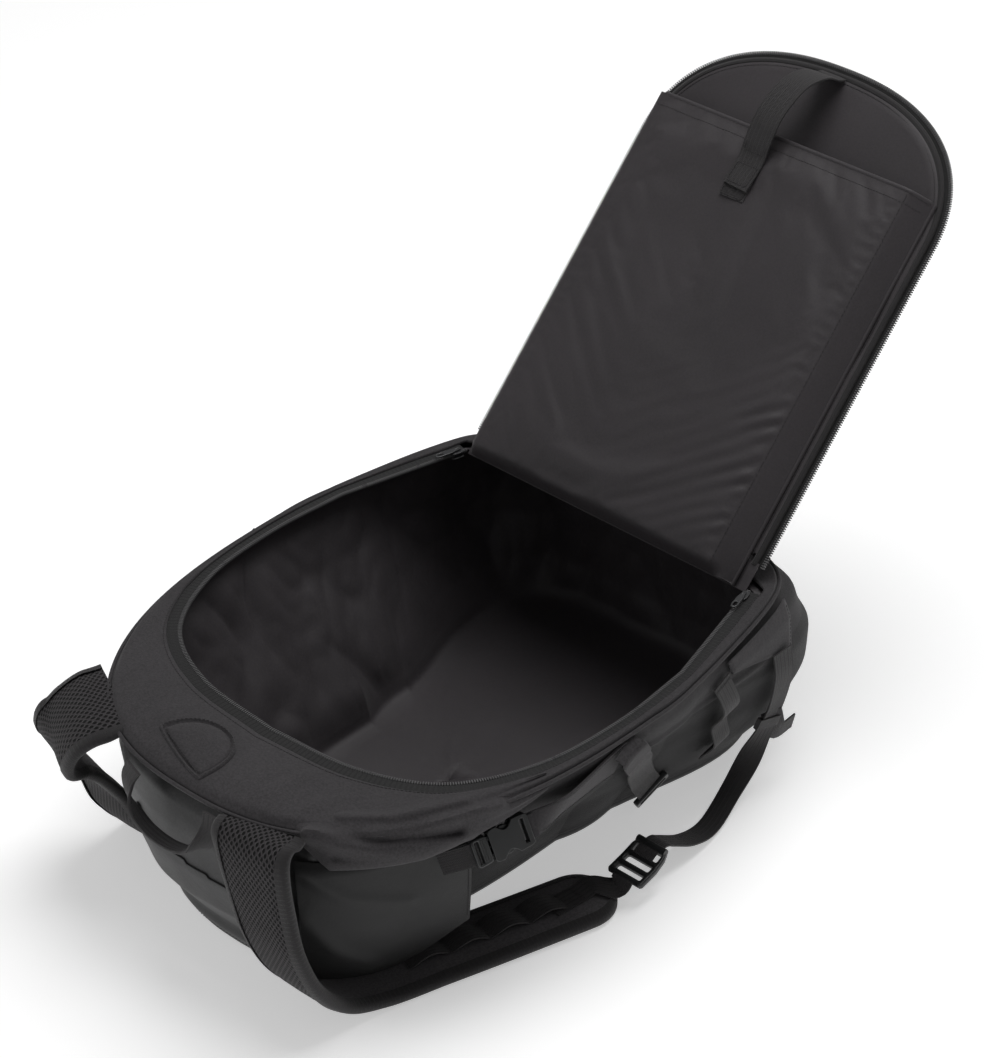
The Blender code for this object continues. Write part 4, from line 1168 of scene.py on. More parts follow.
def lid_outline(inset=0.0, foot=LID_FOOT, steps=48):
    half, reach, shoulder = LID_HALF - inset, LID_LENGTH - inset, LID_LENGTH - LID_ROUND
    turn = np.linspace(0, math.pi, 2 * steps + 1)
    power = 2 / 2.35
    x = half * np.sign(np.cos(turn)) * np.abs(np.cos(turn)) ** power
    y = shoulder + (reach - shoulder) * np.sin(turn).clip(0) ** power
    rise = np.linspace(foot, shoulder, 60, endpoint=False)
    right = np.column_stack([np.full(len(rise), half), rise])
    left = np.column_stack([np.full(len(rise), -half), rise[::-1]])
    return np.vstack([right, np.column_stack([x, y]), left])


def lid_rings(profile, foot_share=1.0):
    """Closed rings for a panel of the lid's outline: profile is (inset, height)."""
    rings = []
    for inset, height in profile:
        outline = lid_outline(inset, LID_FOOT + inset * foot_share)
        half = LID_HALF - inset
        foot = np.column_stack(
            [np.linspace(-half, half, 50)[1:-1], np.full(48, LID_FOOT + inset * foot_share)]
        )
        whole = np.vstack([outline, foot])
        rings.append(at_height(whole, height))
    return np.array(rings)


def make_lid_panels():
    steps = (0.018, 0.03, 0.045, 0.06, 0.08, 0.10, 0.12, 0.14, 0.152)
    inner = lid_rings(
        [(0.0085, -0.0020), (0.0088, 0.0006), (0.011, 0.0014), *[(i, 0.0013) for i in steps]]
    )
    inner[..., 2] += rough(inner, 0.05, 11) * 0.0012 * smooth_step(inner[..., 2], 0.0012, 0.0014)
    lining = grid("lid_lining_cloth", on_lid(inner), "lining", closed=True, caps=True, up=LID_UP)
    piece(lining, "lid", "lining", "lid_lining")
    rounds = (
        (0.0060, -0.0034), (0.0064, -0.0060), (0.0080, -0.0095), (0.0110, -0.0116), (0.0150, -0.0122),
    )
    outer = lid_rings([*rounds, *[(i, -0.0122) for i in steps]])
    outer[..., 2] -= (0.5 + 0.5 * rough(outer, 0.06, 12)) * 0.0006
    back = grid("lid_back_cloth", on_lid(outer), "canvas", closed=True, caps=True, up=-LID_UP)
    piece(back, "lid", "canvas", "lid_back_foam", "lid_frame_sheet")
    path = lid_outline(0.0078, LID_FOOT)
    rim = on_lid(at_height(path, -0.0006))
    welt = tube("rim", rim, 0.0030, "binding", up=LID_UP, flat=0.85)
    row = stitches("rim_thread", on_lid(at_height(lid_outline(0.0125, LID_FOOT), 0.0016)), LID_UP)
    piece(joined("lid_rim_binding", [welt, row]), "lid", "canvas")


def make_lid_zip():
    def place(plan, height):
        return on_lid(at_height(plan, LID_ZIP_Z + height))

    make_zip(
        "lid_zip", lid_outline(0.0, LID_FOOT), 0.0, -1, "lid", "lid_zip", lift=LID_UP, to_world=place,
        tape_in=0.0075,
    )


def make_hinge_cloth():
    """The fabric hinge between the foot rim and the lid, inside and outside."""
    rows = []
    for y, z in (
        (0.1945, 0.1838), (0.197, 0.1868), (0.1995, 0.1890), (0.2025, 0.1925), (0.2070, 0.1972),
        (0.2125, 0.2030),
    ):
        rows.append([(x, y, z) for x in np.linspace(-0.157, 0.157, 90)])
    inside = grid("hinge_inside", rows, "lining", thick=0.0010, up=(0, -0.7, 0.7))
    rows = []
    for y, z in (
        (0.2100, 0.1858), (0.2110, 0.1866), (0.2135, 0.1876), (0.2165, 0.1892), (0.2200, 0.1915),
    ):
        rows.append([(x, y, z) for x in np.linspace(-0.150, 0.150, 90)])
    outside = grid("hinge_outside", rows, "canvas", thick=0.0010, up=(0, 0.7, 0.7))
    cloth = joined("hinge_cloth", [inside, outside])
    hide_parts("lid_hinge_tape")
    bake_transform(cloth)


def make_sleeve():
    """The padded laptop sleeve: a raised panel, its mouth towards the lid's round end."""
    section = sleeve_section()
    lengths = np.linspace(SLEEVE_FOOT, SLEEVE_MOUTH, 130)
    x = np.broadcast_to(section[None, :, 0], (len(lengths), len(section)))
    s = np.broadcast_to(lengths[:, None], x.shape)
    foot = smooth_step(s, SLEEVE_FOOT, SLEEVE_FOOT + 0.012) ** 0.5
    z = np.where(
        section[None, :, 1] > 0.012, 0.012 + (section[None, :, 1] - 0.012) * foot, section[None, :, 1],
    )
    points = np.stack([x, s, z], axis=-1)
    on_front = smooth_step(x, -0.143, -0.128) * smooth_step(SLEEVE_SEAM - x, 0.0, 0.012)
    ends = smooth_step(s, SLEEVE_FOOT, 0.03) * smooth_step(SLEEVE_MOUTH - s, 0, 0.03)
    lift = 0.0014 * on_front * ends + rough(points * (1, 0.7, 1), 0.10, 16) * 0.0014 * on_front * ends
    # drag folds that start at the right seam and run down to the left, strongest near the foot
    phase = (s - 0.78 * x) / 0.0175
    wave = np.sin(2 * math.pi * phase + 2.4 * rough(points, 0.07, 14))
    reach = np.exp(
        -((np.clip(SLEEVE_SEAM - x, 0, 1) / 0.050) ** 2)
    ) * smooth_step(0.20 - s, 0, 0.11) * smooth_step(s, 0.0, 0.04)
    patchy = 0.55 + 0.9 * rough(points * (1, 2, 1), 0.055, 15)
    lift = lift + 0.0015 * wave * reach * patchy.clip(0, 1.3) * (x < SLEEVE_SEAM)
    # short puckers along both seams
    stitch = np.sin(2 * math.pi * s / 0.0105 + 3.0 * rough(points, 0.03, 18))
    close = np.exp(
        -((np.clip(SLEEVE_SEAM - x, 0, 1) / 0.011) ** 2)
    ) * (x < SLEEVE_SEAM) + 0.8 * np.exp(-(((x + 0.140) / 0.012) ** 2))
    lift = lift + 0.00028 * stitch * close * ends * (0.6 + 0.8 * rough(points, 0.05, 19)).clip(0, 1.4)
    left_wave = np.sin(2 * math.pi * (s + 0.9 * x) / 0.024 + 2 * rough(points, 0.06, 22))
    left_share = np.exp(-(((x + 0.135) / 0.035) ** 2)) * ends
    lift = lift + 0.00035 * left_wave * left_share * (0.3 + rough(points, 0.08, 23)).clip(0, 1)
    lift = lift - 0.0012 * np.exp(-(((x - SLEEVE_SEAM) / 0.0016) ** 2)) * smooth_step(s, 0.0, 0.01)
    points[..., 2] += lift
    points = puffed(points)
    world = on_lid(points)
    front = grid("sleeve_front", world, "lining", thick=0.0030, up=LID_UP)
    base = points[0]
    foot_rows = [
        base, base * (1, 1, 0) + (0, 0.002, 0) + base * (0, 0, 0.6),
        base * (1, 0, 0) + (0, 0.006, 0.0022),
    ]
    foot = grid("sleeve_foot", on_lid(np.array(foot_rows)), "lining", thick=0.0010, up=-LID_ALONG)
    sides = [tube(
        "edge", on_lid([(k * (SLEEVE_HALF - 0.0004), t, 0.0030) for t in lengths]), 0.0018, "lining",
        up=LID_UP,
    ) for k in (1, -1)]
    hem = tube("hem", world[-1][6:-2] - LID_UP * 0.0008, 0.0020, "lining", up=LID_UP, flat=0.8)
    column = int(np.abs(section[:, 0] - SLEEVE_SEAM - 0.0020).argmin())
    threads = [
        stitches("thread", world[3:-1, column] + LID_UP * 0.0004, LID_UP, pitch=0.0042, length=0.0030),
        stitches("thread", world[-5, 5:-3] + LID_UP * 0.0002, LID_UP),
    ]
    sleeve = joined("sleeve_cloth", [front, foot, *sides, hem, *threads])
    piece(sleeve, "lid", "lining", "laptop_sleeve")


def puffed(points):
    """Cloth simulation of the sleeve's panel: its stitched lines hold while the padding pushes it out."""
    data = bpy.data.meshes.new("sim")
    faces, _ = grid_faces(*points.shape[:2], False)
    data.from_pydata(points.reshape(-1, 3).tolist(), [], faces.tolist())
    made = bpy.data.objects.new("sim", data)
    bpy.context.scene.collection.objects.link(made)
    x, s = points[..., 0], points[..., 1]
    held = (x > SLEEVE_SEAM - 0.001) | (x < -0.138) | (s < 0.002) | (s > SLEEVE_MOUTH - 0.004)
    group = made.vertex_groups.new(name="held")
    group.add(np.flatnonzero(held.reshape(-1)).tolist(), 1.0, "REPLACE")
    cloth = made.modifiers.new("cloth", "CLOTH")
    settings = cloth.settings
    settings.vertex_group_mass = "held"
    settings.use_pressure = True
    settings.uniform_pressure_force = 0.2
    settings.shrink_min = -0.004
    settings.effector_weights.gravity = 0.0
    settings.quality = 6
    cloth.collision_settings.use_self_collision = False
    scene = bpy.context.scene
    for step in range(1, 19):
        scene.frame_set(step)
    evaluated = made.evaluated_get(bpy.context.evaluated_depsgraph_get())
    moved = np.zeros(len(data.vertices) * 3)
    evaluated.data.vertices.foreach_get("co", moved)
    scene.frame_set(1)
    change = moved.reshape(points.shape) - points
    bpy.data.objects.remove(made)
    length = np.linalg.norm(change, axis=-1, keepdims=True)
    limit = 0.0035
    return points + change * np.minimum(1, limit / np.maximum(length, 1e-9))


def make_loop_patch():
    low_x, high_x, low_s, high_s = -0.038, -0.012, 0.288, 0.338
    rows = [
        [(x, s, SLEEVE_DEPTH + 0.0004) for x in np.linspace(low_x, high_x, 22)]
        for s in np.linspace(low_s, high_s, 40)
    ]
    patch = np.array(rows)
    patch[..., 2] += 0.0007 + rough(patch, 0.0016, 20) * 0.0005
    cloth = grid("patch", on_lid(patch), "hook_and_loop", thick=0.0012, up=LID_UP)
    box_line = [
        (low_x + 0.0015, low_s + 0.0015), (high_x - 0.0015, low_s + 0.0015),
        (high_x - 0.0015, high_s - 0.0015), (low_x + 0.0015, high_s - 0.0015),
        (low_x + 0.0015, low_s + 0.0015),
    ]
    thread = stitches("thread", on_lid([(*p, SLEEVE_DEPTH + 0.0017) for p in box_line]), LID_UP)
    piece(joined("loop_patch_cloth", [cloth, thread]), "lid", "webbing", "loop_patch")


def make_sleeve_strap():
    rest = SLEEVE_DEPTH + 0.0034
    points = (
        (-0.006, 0.421, 0.0075), (-0.008, 0.414, 0.026), (-0.012, 0.396, 0.041), (-0.017, 0.366, 0.044),
        (-0.021, 0.341, 0.035), (-0.023, 0.324, rest), (-0.025, 0.298, rest),
    )
    path = spline(points, 10)
    strap = ribbon("strap", on_lid(path), (1, 0, 0), 0.0135, 0.0018, pitch=0.003)
    hooks = ribbon(
        "hooks", on_lid(path[-14:] - (0, 0, 0.0015)), (1, 0, 0), 0.0122, 0.0012, look="hook_and_loop",
        pitch=0.003,
    )
    tacks = []
    for start, end in ((52, 59), (42, 46)):
        corners = [
            path[start] + (0.0105, 0, 0.0011), path[end] + (0.0105, 0, 0.0011),
            path[end] + (-0.0105, 0, 0.0011), path[start] + (-0.0105, 0, 0.0011),
        ]
        lines = [*corners, corners[0]] if start > 50 else corners[:2][::1] + corners[2:]
        tacks.append(
            stitches("thread", on_lid(lines), LID_UP, pitch=0.0026, length=0.0020, radius=0.0004)
        )
    root = ribbon(
        "root", on_lid([(-0.005, 0.4250, 0.0010), (-0.0055, 0.4235, 0.004), (-0.006, 0.421, 0.0075)]),
        (1, 0, 0), 0.0135, 0.0018, pitch=0.002,
    )
    piece(
        joined("sleeve_strap_webbing", [strap, hooks, root, *tacks]), "sleeve_strap_loop", "webbing",
        "sleeve_strap",
    )


def cushion(name, low, high, base, depth, node):
    """A crowned cushion on the lid's outer side, with a stitched channel round it."""
    columns, rows = np.linspace(-1, 1, 61), np.linspace(-1, 1, 81)
    u, v = np.meshgrid(columns, rows)
    edge = (1 - np.abs(u) ** 5).clip(0) ** 0.5 * (1 - np.abs(v) ** 5).clip(0) ** 0.5
    pull = 0.012 * (1 - np.abs(u)) * np.abs(v) ** 6
    x = (low[0] + high[0]) / 2 + u * (high[0] - low[0]) / 2 * (1 - 0.03 * (1 - v**2) * np.abs(u) ** 3)
    s = (low[1] + high[1]) / 2 + v * ((high[1] - low[1]) / 2 - pull)
    channel = np.exp(
        -(((np.abs(u) - 0.72) / 0.035) ** 2)
    ) * (np.abs(v) < 0.86) + np.exp(-(((np.abs(v) - 0.86) / 0.03) ** 2)) * (np.abs(u) < 0.72)
    z = base - depth * edge ** 0.8 + 0.0022 * channel.clip(0, 1)
    points = np.stack([x, s, z], axis=-1)
    points[..., 2] += rough(points, 0.03, 21) * 0.0006 * edge
    made = grid(name, on_lid(points), "spacer_mesh", thick=0.0012, up=-LID_UP)
    piece(made, "lid", "spacer_mesh", node)


def make_back_cushions():
    for name, side in SIDES.items():
        low, high = sorted((side * 0.018, side * 0.128))
        cushion(f"back_pad_{name}", (low, 0.150), (high, 0.370), -0.0124, 0.0090, f"back_cushion_{name}")
    cushion("lumbar_pad", (-0.128, 0.040), (0.128, 0.132), -0.0124, 0.0108, "lumbar_cushion")


# ---- sliders, handle, straps ----------------------------------------------------------------------
def make_slider(name, side):
    sign = np.array([side, 1.0])
    run2 = unit(np.array(OPENING_CURVE[-1]) - np.array(OPENING_CORNER)) * sign
    start = np.array([*(np.array(OPENING_CORNER) * sign + run2 * 0.010), BODY_ZIP_Z])
    run, up = np.array([*run2, 0.0]), np.array([0.0, 0.0, 1.0])
    out = np.cross(up, run)
    shield = [
        (-0.0060, -0.0026), (-0.0060, 0.0034), (-0.0035, 0.0040), (0.0020, 0.0041), (0.0052, 0.0032),
        (0.0060, 0.0012), (0.0060, -0.0012), (0.0050, -0.0028), (0.0, -0.0031),
    ]
    plates = [moulded(
        "plate", shield, [], 0.0011, 0.0004, placed(start + up * h, run, out, up), look="slider_metal",
    ) for h in (0.0025, -0.0025)]
    bridge = tube("bridge", np.array([start + run * x + up * z for x, z in (
        (-0.0045, 0.0028), (-0.0040, 0.0043), (-0.0020, 0.0051), (0.0010, 0.0050), (0.0030, 0.0040),
        (0.0034, 0.0028),
    )]), 0.0006, "slider_metal", up=out)
    wedge = moulded(
        "wedge", [(0.0022, -0.0008), (0.0022, 0.0008), (0.0058, 0.0004), (0.0058, -0.0004)], [], 0.0050,
        0.0002, placed(start, run, out, up), look="slider_metal",
    )
    piece(
        joined(f"slider_body_{name}", [*plates, bridge, wedge]), f"slider_{name}", "acetal_plastic",
        f"zip_slider_{name}",
    )
    pull_at = start + up * 0.0044 - run * 0.002
    outline = [
        (-0.0015, -0.0016), (0.003, -0.0018), (0.008, -0.0028), (0.020, -0.0030), (0.0235, -0.0018),
        (0.0240, 0.0), (0.0235, 0.0018), (0.020, 0.0030), (0.008, 0.0028), (0.003, 0.0018),
        (-0.0015, 0.0016),
    ]
    tab = moulded(
        "tab", outline, [rounded(0.0028, 0.0015, 0.0012, (0.0185, 0.0))], 0.0016, 0.0005,
        placed(pull_at, run, out, up), look="slider_metal",
    )
    piece(rename(tab, f"pull_tab_{name}"), f"pull_{name}", "acetal_plastic", f"zip_pull_{name}")


HANDLE_PATH = (
    (-0.051, -0.3030, 0.1790), (-0.056, -0.3055, 0.166), (-0.051, -0.3090, 0.150),
    (-0.032, -0.3115, 0.137), (-0.006, -0.3120, 0.133), (0.017, -0.3115, 0.139),
    (0.030, -0.3090, 0.151), (0.036, -0.3055, 0.165), (0.036, -0.3030, 0.1790),
)
HANDLE_ACROSS = (
    (1, 0, 0), (1, -0.2, 0), (0.9, -0.7, 0), (0.3, -1, 0), (0, -1, 0), (-0.3, -1, 0), (-0.9, -0.7, 0),
    (-1, -0.2, 0), (-1, 0, 0),
)


def make_handle():
    path, across = spline(HANDLE_PATH, 10), spline(HANDLE_ACROSS, 10)
    share = np.linspace(0, 1, len(path))
    half = 0.0082 - 0.0018 * smooth_step(share, 0.25, 0.4) * smooth_step(1 - share, 0.25, 0.4)
    strap = ribbon("strap", path, across, half, 0.0024, section=WEB_SECTION, pitch=0.003)
    _, wide, up = frames(path, across)
    rows = []
    for k in (1, -1):
        rows.append(
            stitches("thread", path[3:-3] + wide[3:-3] * 0.0050 * k + up[3:-3] * 0.0013, up[3:-3].mean(0))
        )
    piece(joined("handle_webbing", [strap, *rows]), "handle", "webbing", "top_handle")


PAD_PATH = {
    "right": (
        (0.083, -0.3045, 0.1790), (0.087, -0.3095, 0.164), (0.094, -0.3095, 0.130), (0.102, -0.3060, 0.090),
        (0.108, -0.2910, 0.050), (0.111, -0.264, 0.0200), (0.118, -0.226, 0.0075), (0.135, -0.172, 0.0065),
        (0.153, -0.118, 0.0065), (0.171, -0.062, 0.0065), (0.188, -0.008, 0.0065),
    ),
    "left": (
        (-0.1310, -0.2655, 0.1785), (-0.1380, -0.2775, 0.1745), (-0.1455, -0.2885, 0.1650),
        (-0.1525, -0.2935, 0.1500), (-0.1590, -0.2885, 0.1350), (-0.1630, -0.2760, 0.1200),
        (-0.1630, -0.2620, 0.1020), (-0.1590, -0.2490, 0.0760), (-0.1490, -0.2370, 0.0420),
        (-0.1450, -0.2120, 0.0140), (-0.150, -0.168, 0.0065), (-0.159, -0.103, 0.0065),
        (-0.172, -0.022, 0.0065),
    ),
}
PAD_ACROSS = {"right": ((1.0, 0.02, 0), (1, 0, 0)), "left": ((-0.78, 0.62, 0), (-1, 0, 0))}
LOCK_PLACE = {"right": (0.1995, 0.012, 0.027), "left": (-0.1835, 0.000, 0.027)}
WING_FOOT = (0.190, 0.148)


def make_pad(name, side):
    """A shoulder pad: mesh towards the body, canvas outside, its edges bound with tape."""
    root = np.array(PAD_PATH[name][0])
    tuck = root + unit(root * (-1, -1, 0)) * 0.014 + (0, 0, 0.0035)
    path = even(spline((tuck, *PAD_PATH[name]), 12), 0.0028)
    share = along_of(path) / along_of(path)[-1]
    flare = {"right": 0.10, "left": 0.40}[name] * (1 - smooth_step(share, 0.02, 0.22))
    half = (0.034 - 0.003 * share) * (1 + flare) * np.sqrt(
        np.clip(1 - (np.clip(share - 0.93, 0, 1) / 0.072) ** 2, 0.10, 1)
    )
    start, rest = np.array(PAD_ACROSS[name])
    across = start + (rest - start) * np.clip(share * 2.4, 0, 1)[:, None]
    _, wide, up = frames(path, across)
    outer = 1 if name == "right" else -1  # the side of the section that the canvas covers
    turn = circle(44)
    u = np.sign(np.cos(turn)) * np.abs(np.cos(turn)) ** 0.42
    v = np.sign(np.sin(turn)) * np.abs(np.sin(turn)) ** 0.62
    crown = (1 - 0.30 * np.abs(u) ** 3) * v * PAD_THICK / 2
    end = np.sqrt(
        np.clip(1 - (np.clip(share - 0.95, 0, 1) / 0.055) ** 2, 0.12, 1)
    ) * (0.55 + 0.45 * smooth_step(share, 0, 0.05))
    points = path[:, None] + wide[:, None] * (u[None] * half[:, None])[..., None]
    points = points + up[:, None] * (crown[None] * end[:, None])[..., None]
    bumps = rough(points, 0.022, 30 + side) * 0.0005 + rough(points, 0.055, 33) * 0.0008
    points = points + up[:, None] * (np.sign(v)[None] * bumps * np.abs(v)[None] ** 0.5)[..., None]
    points[..., 2] = np.maximum(points[..., 2], 0.0006)
    middle = (v + np.roll(v, -1)) / 2
    canvas_side = np.broadcast_to((middle * outer > 0)[None], (len(path) - 1, len(turn)))
    # The pad's canvas side gets the lighter pad canvas look: painted light on a side that the lamps light
    # less.
    cover = grid("cover", points, "spacer_mesh", "pad_canvas_painted_light", closed=True, caps=True, second=canvas_side)
    bindings = []
    width = 0.0075
    for k in (1, -1):
        cells = (
            (-width, 1.03), (-0.004, 0.93), (-0.0010, 0.78), (0.0006, 0.35), (0.0008, 0.0),
            (0.0006, -0.35), (-0.0010, -0.78), (-0.004, -0.93), (-width, -1.03),
        )
        rows = []
        for du, dv in cells:
            reach = (half + du) * k
            thick = (1 - 0.30 * (np.abs(half + min(du, 0)) / half) ** 3) * PAD_THICK / 2 * end
            lift = dv * thick + math.copysign(0.0005, dv) * (dv != 0)
            rows.append(path + wide * reach[:, None] + up * np.broadcast_to(lift, len(path))[:, None])
        rows = np.array(rows)
        rows[..., 2] = np.maximum(rows[..., 2], 0.0003)
        bindings.append(grid("binding", rows, "binding", thick=0.0004))
        inset = path + wide * ((half - width + 0.0014) * k)[:, None]
        for way in (1, -1):
            line = inset + up * (way * (PAD_THICK / 2 * 0.80 * end + 0.0006))[:, None]
            if line[:, 2].min() > 0.0006 or way * outer > 0:
                line[:, 2] = np.maximum(line[:, 2], 0.0006)
                bindings.append(stitches("thread", line[2:-3], up.mean(0) + (0, 0.3, 0)))
    pad = joined(f"pad_cushion_{name}", [cover, *bindings])
    piece(pad, f"strap_{name}", "spacer_mesh", f"shoulder_pad_{name}")
    return path, share, half


def make_daisy_chain(name, path, share):
    """Webbing along the pad's outer face, tacked down so that it stands up in loops between the tacks."""
    chosen = (share > 0.58) & (share < 0.90)
    line = path[chosen]
    local = np.linspace(0, 1, len(line))
    loops = 0.0052 * np.abs(np.sin(local * math.pi * 4)) ** 1.3
    lifted = line + np.column_stack(
        [np.zeros(len(line)), np.zeros(len(line)), PAD_THICK / 2 + 0.0012 + loops]
    )
    strap = ribbon("chain", lifted, (1, 0, 0), 0.0110, WEB_THICK, pitch=0.002)
    tacks = []
    for i in np.linspace(2, len(line) - 3, 5).round().astype(int):
        along = unit(lifted[i + 1] - lifted[i - 1])
        tacks.append(bartack(
            line[i] + (0, 0, PAD_THICK / 2 + 0.0022), along, np.array((1.0, 0, 0)), np.array((0, 0, 1.0)),
            0.019,
        ))
    piece(
        joined(f"daisy_webbing_{name}", [strap, *tacks]), f"strap_{name}", "webbing",
        f"daisy_chain_{name}",
    )


def make_strap_webbing(name, side, path, share):
    lock = np.array(LOCK_PLACE[name])
    end = path[(share > 0.60) & (share < 0.93)][-1] + (0, 0.004, PAD_THICK / 2 + 0.0013)
    points = (
        end + (-side * 0.004, -0.030, 0.0), end, end + (side * 0.003, 0.014, 0.002),
        lock + (-side * 0.002, -0.0245, -0.0100), lock + (0, -0.0165, -0.0020),
        lock + (0, -0.0125, -0.0040),
    )
    loop = ribbon("loop", spline(points, 6), (1, 0, 0), 0.0105, WEB_THICK, pitch=0.002)
    low, high = end + (-side * 0.004, -0.028, 0.0011), end + (0, -0.002, 0.0011)
    square = [
        low + (-0.009, 0, 0), low + (0.009, 0, 0), high + (0.009, 0, 0), high + (-0.009, 0, 0),
        low + (-0.009, 0, 0), high + (0.009, 0, 0),
    ]
    thread = stitches("thread", np.array(square), (0, 0, 1), pitch=0.0026, length=0.0020)
    piece(
        joined(f"pad_loop_webbing_{name}", [loop, thread]), f"strap_{name}", "webbing",
        f"pad_end_loop_{name}",
    )

    wing = np.array(on_wall(*WING_FOOT, 0.0075, side))
    points = (
        wing, on_wall(0.190, 0.125, 0.008, side), on_wall(0.190, 0.090, 0.009, side),
        (side * 0.187, 0.180, 0.045), (side * 0.186, 0.150, 0.014), (side * 0.195, 0.110, 0.005),
        lock + (0, 0.064, -0.013), lock + (0, 0.034, 0.0040),
    )
    across = (
        (0, 1, 0), (0, 1, 0), (0.1 * side, 1, 0.1), (0.5 * side, 0.8, 0.2), (side, 0.3, 0.1),
        (side, 0, 0), (side, 0, 0), (side, 0, 0),
    )
    line, wide = spline(points, 10), spline(across, 10)
    share = np.linspace(0, 1, len(line))
    half = 0.0120 - 0.0020 * smooth_step(share, 0.20, 0.32)
    lower = ribbon("lower", line, wide, half, WEB_THICK, pitch=0.003)
    over = np.array([
        lock + (0, 0.034, 0.0040), lock + (0, 0.028, 0.0078), lock + (0, 0.020, 0.0088),
        lock + (0, 0.012, 0.0076), lock + (0, 0.006, 0.0040),
    ])
    wrap = ribbon("wrap", spline(over, 5), (1, 0, 0), 0.0100, WEB_THICK, pitch=0.002)
    along, across_all, up = frames(line, wide)
    i = 24
    keeper = [line[i] + across_all[i] * x + up[i] * z for x, z in (
        (-0.0135, 0.0018), (0.0135, 0.0018), (0.0135, -0.0018), (-0.0135, -0.0018), (-0.0135, 0.0018),
    )]
    ring = ribbon("keeper", np.array(keeper), along[i], 0.0060, 0.0012, pitch=0.004)
    tail = spline((
        line[i - 2] + up[i] * 0.002,
        line[i + 1] + along[i] * 0.008 + np.array([side * 0.004, 0.014, -0.004]),
        line[i + 1] + along[i] * 0.010 + np.array([side * 0.006, 0.034, -0.002]),
    ), 6)
    tip = ribbon("tail", tail, along[i], 0.0095, WEB_THICK, pitch=0.003)
    piece(
        joined(f"lower_strap_{name}", [lower, wrap, ring, tip]), f"strap_{name}", "webbing",
        f"lower_webbing_{name}",
    )


LOCK_SLOTS = (
    (0.0025, 0.0085), (0.0130, 0.0200), (0.0245, 0.0325),
)  # start and end of each, along the strap
LOCK_SIDE = (
    (0.0165, -0.0020), (0.0180, 0.0), (0.0180, 0.0180), (0.0172, 0.0300), (0.0150, 0.0366), (0.0120, 0.0380),
)
LOCK_BARS = (  # place along the strap, height, radius
    (0.0, 0.0008, 0.0030), (0.0108, 0.0014, 0.0024), (0.0222, 0.0010, 0.0026), (0.0352, 0.0026, 0.0034),
)


def make_ladder_lock(name):
    """The strap adjuster: a moulded frame with crossbars, arched along the strap."""
    hinge = np.array(LOCK_PLACE[name]) + (0, -0.015, -0.005)
    tilt = math.radians(14)
    along, up = np.array([0, math.cos(tilt), math.sin(tilt)]), np.array(
        [0, -math.sin(tilt), math.cos(tilt)]
    )
    holes = [rounded(0.0130, (b - a) / 2, 0.0016, (0.0, (a + b) / 2)) for a, b in LOCK_SLOTS]
    outline = [(-LOCK_SIDE[0][0], LOCK_SIDE[0][1]), *LOCK_SIDE, *[(-x, y) for x, y in LOCK_SIDE[:0:-1]]]
    plate = moulded(
        "frame", outline, holes, 0.0058, 0.0016, placed(hinge, np.array([1.0, 0, 0]), along, up),
    )
    bars = []
    for s, height, radius in LOCK_BARS:
        line = [hinge + along * s + up * height + np.array([x, 0, 0]) for x in (-0.0150, 0.0150)]
        bars.append(tube("bar", np.array(line), radius, "acetal_plastic", up=up))
    lock = joined(f"ladder_frame_{name}", [plate, *bars])
    for vertex in lock.data.vertices:
        local = np.array(vertex.co) - hinge
        s = local @ along
        arch = 0.0030 * smooth_step(s, 0.018, 0.038) + 0.0010 * smooth_step(-s + 0.004, 0.0, 0.008)
        vertex.co = Vector(hinge + local + up * arch)
    piece(lock, f"lock_{name}", "acetal_plastic", f"ladder_lock_{name}")


def coons(top, bottom, left, right, rows=40, columns=60):
    """A surface filled in between four edge curves that meet at their ends."""
    def run(curve, count):
        curve = np.array(curve, float)
        travelled = along_of(curve)
        stops = np.linspace(0, travelled[-1], count)
        return np.stack([np.interp(stops, travelled, curve[:, k]) for k in range(3)], axis=1)

    top, bottom, left, right = run(top, columns), run(bottom, columns), run(left, rows), run(right, rows)
    u, v = np.linspace(0, 1, columns)[None, :, None], np.linspace(0, 1, rows)[:, None, None]
    corners = (1 - u) * (1 - v) * top[0] + u * (1 - v) * top[-1]
    corners = corners + (1 - u) * v * bottom[0] + u * v * bottom[-1]
    return (1 - v) * top[None] + v * bottom[None] + (1 - u) * left[:, None] + u * right[:, None] - corners


def make_ear():
    """The flap's folded right corner: a flat ear, and the yoke's cloth gathered over its upper edge."""
    ear = ear_cloth()
    piece(joined("corner_fold_right", [*ear, gathered_cloth()]), "bag", "coated_fabric")


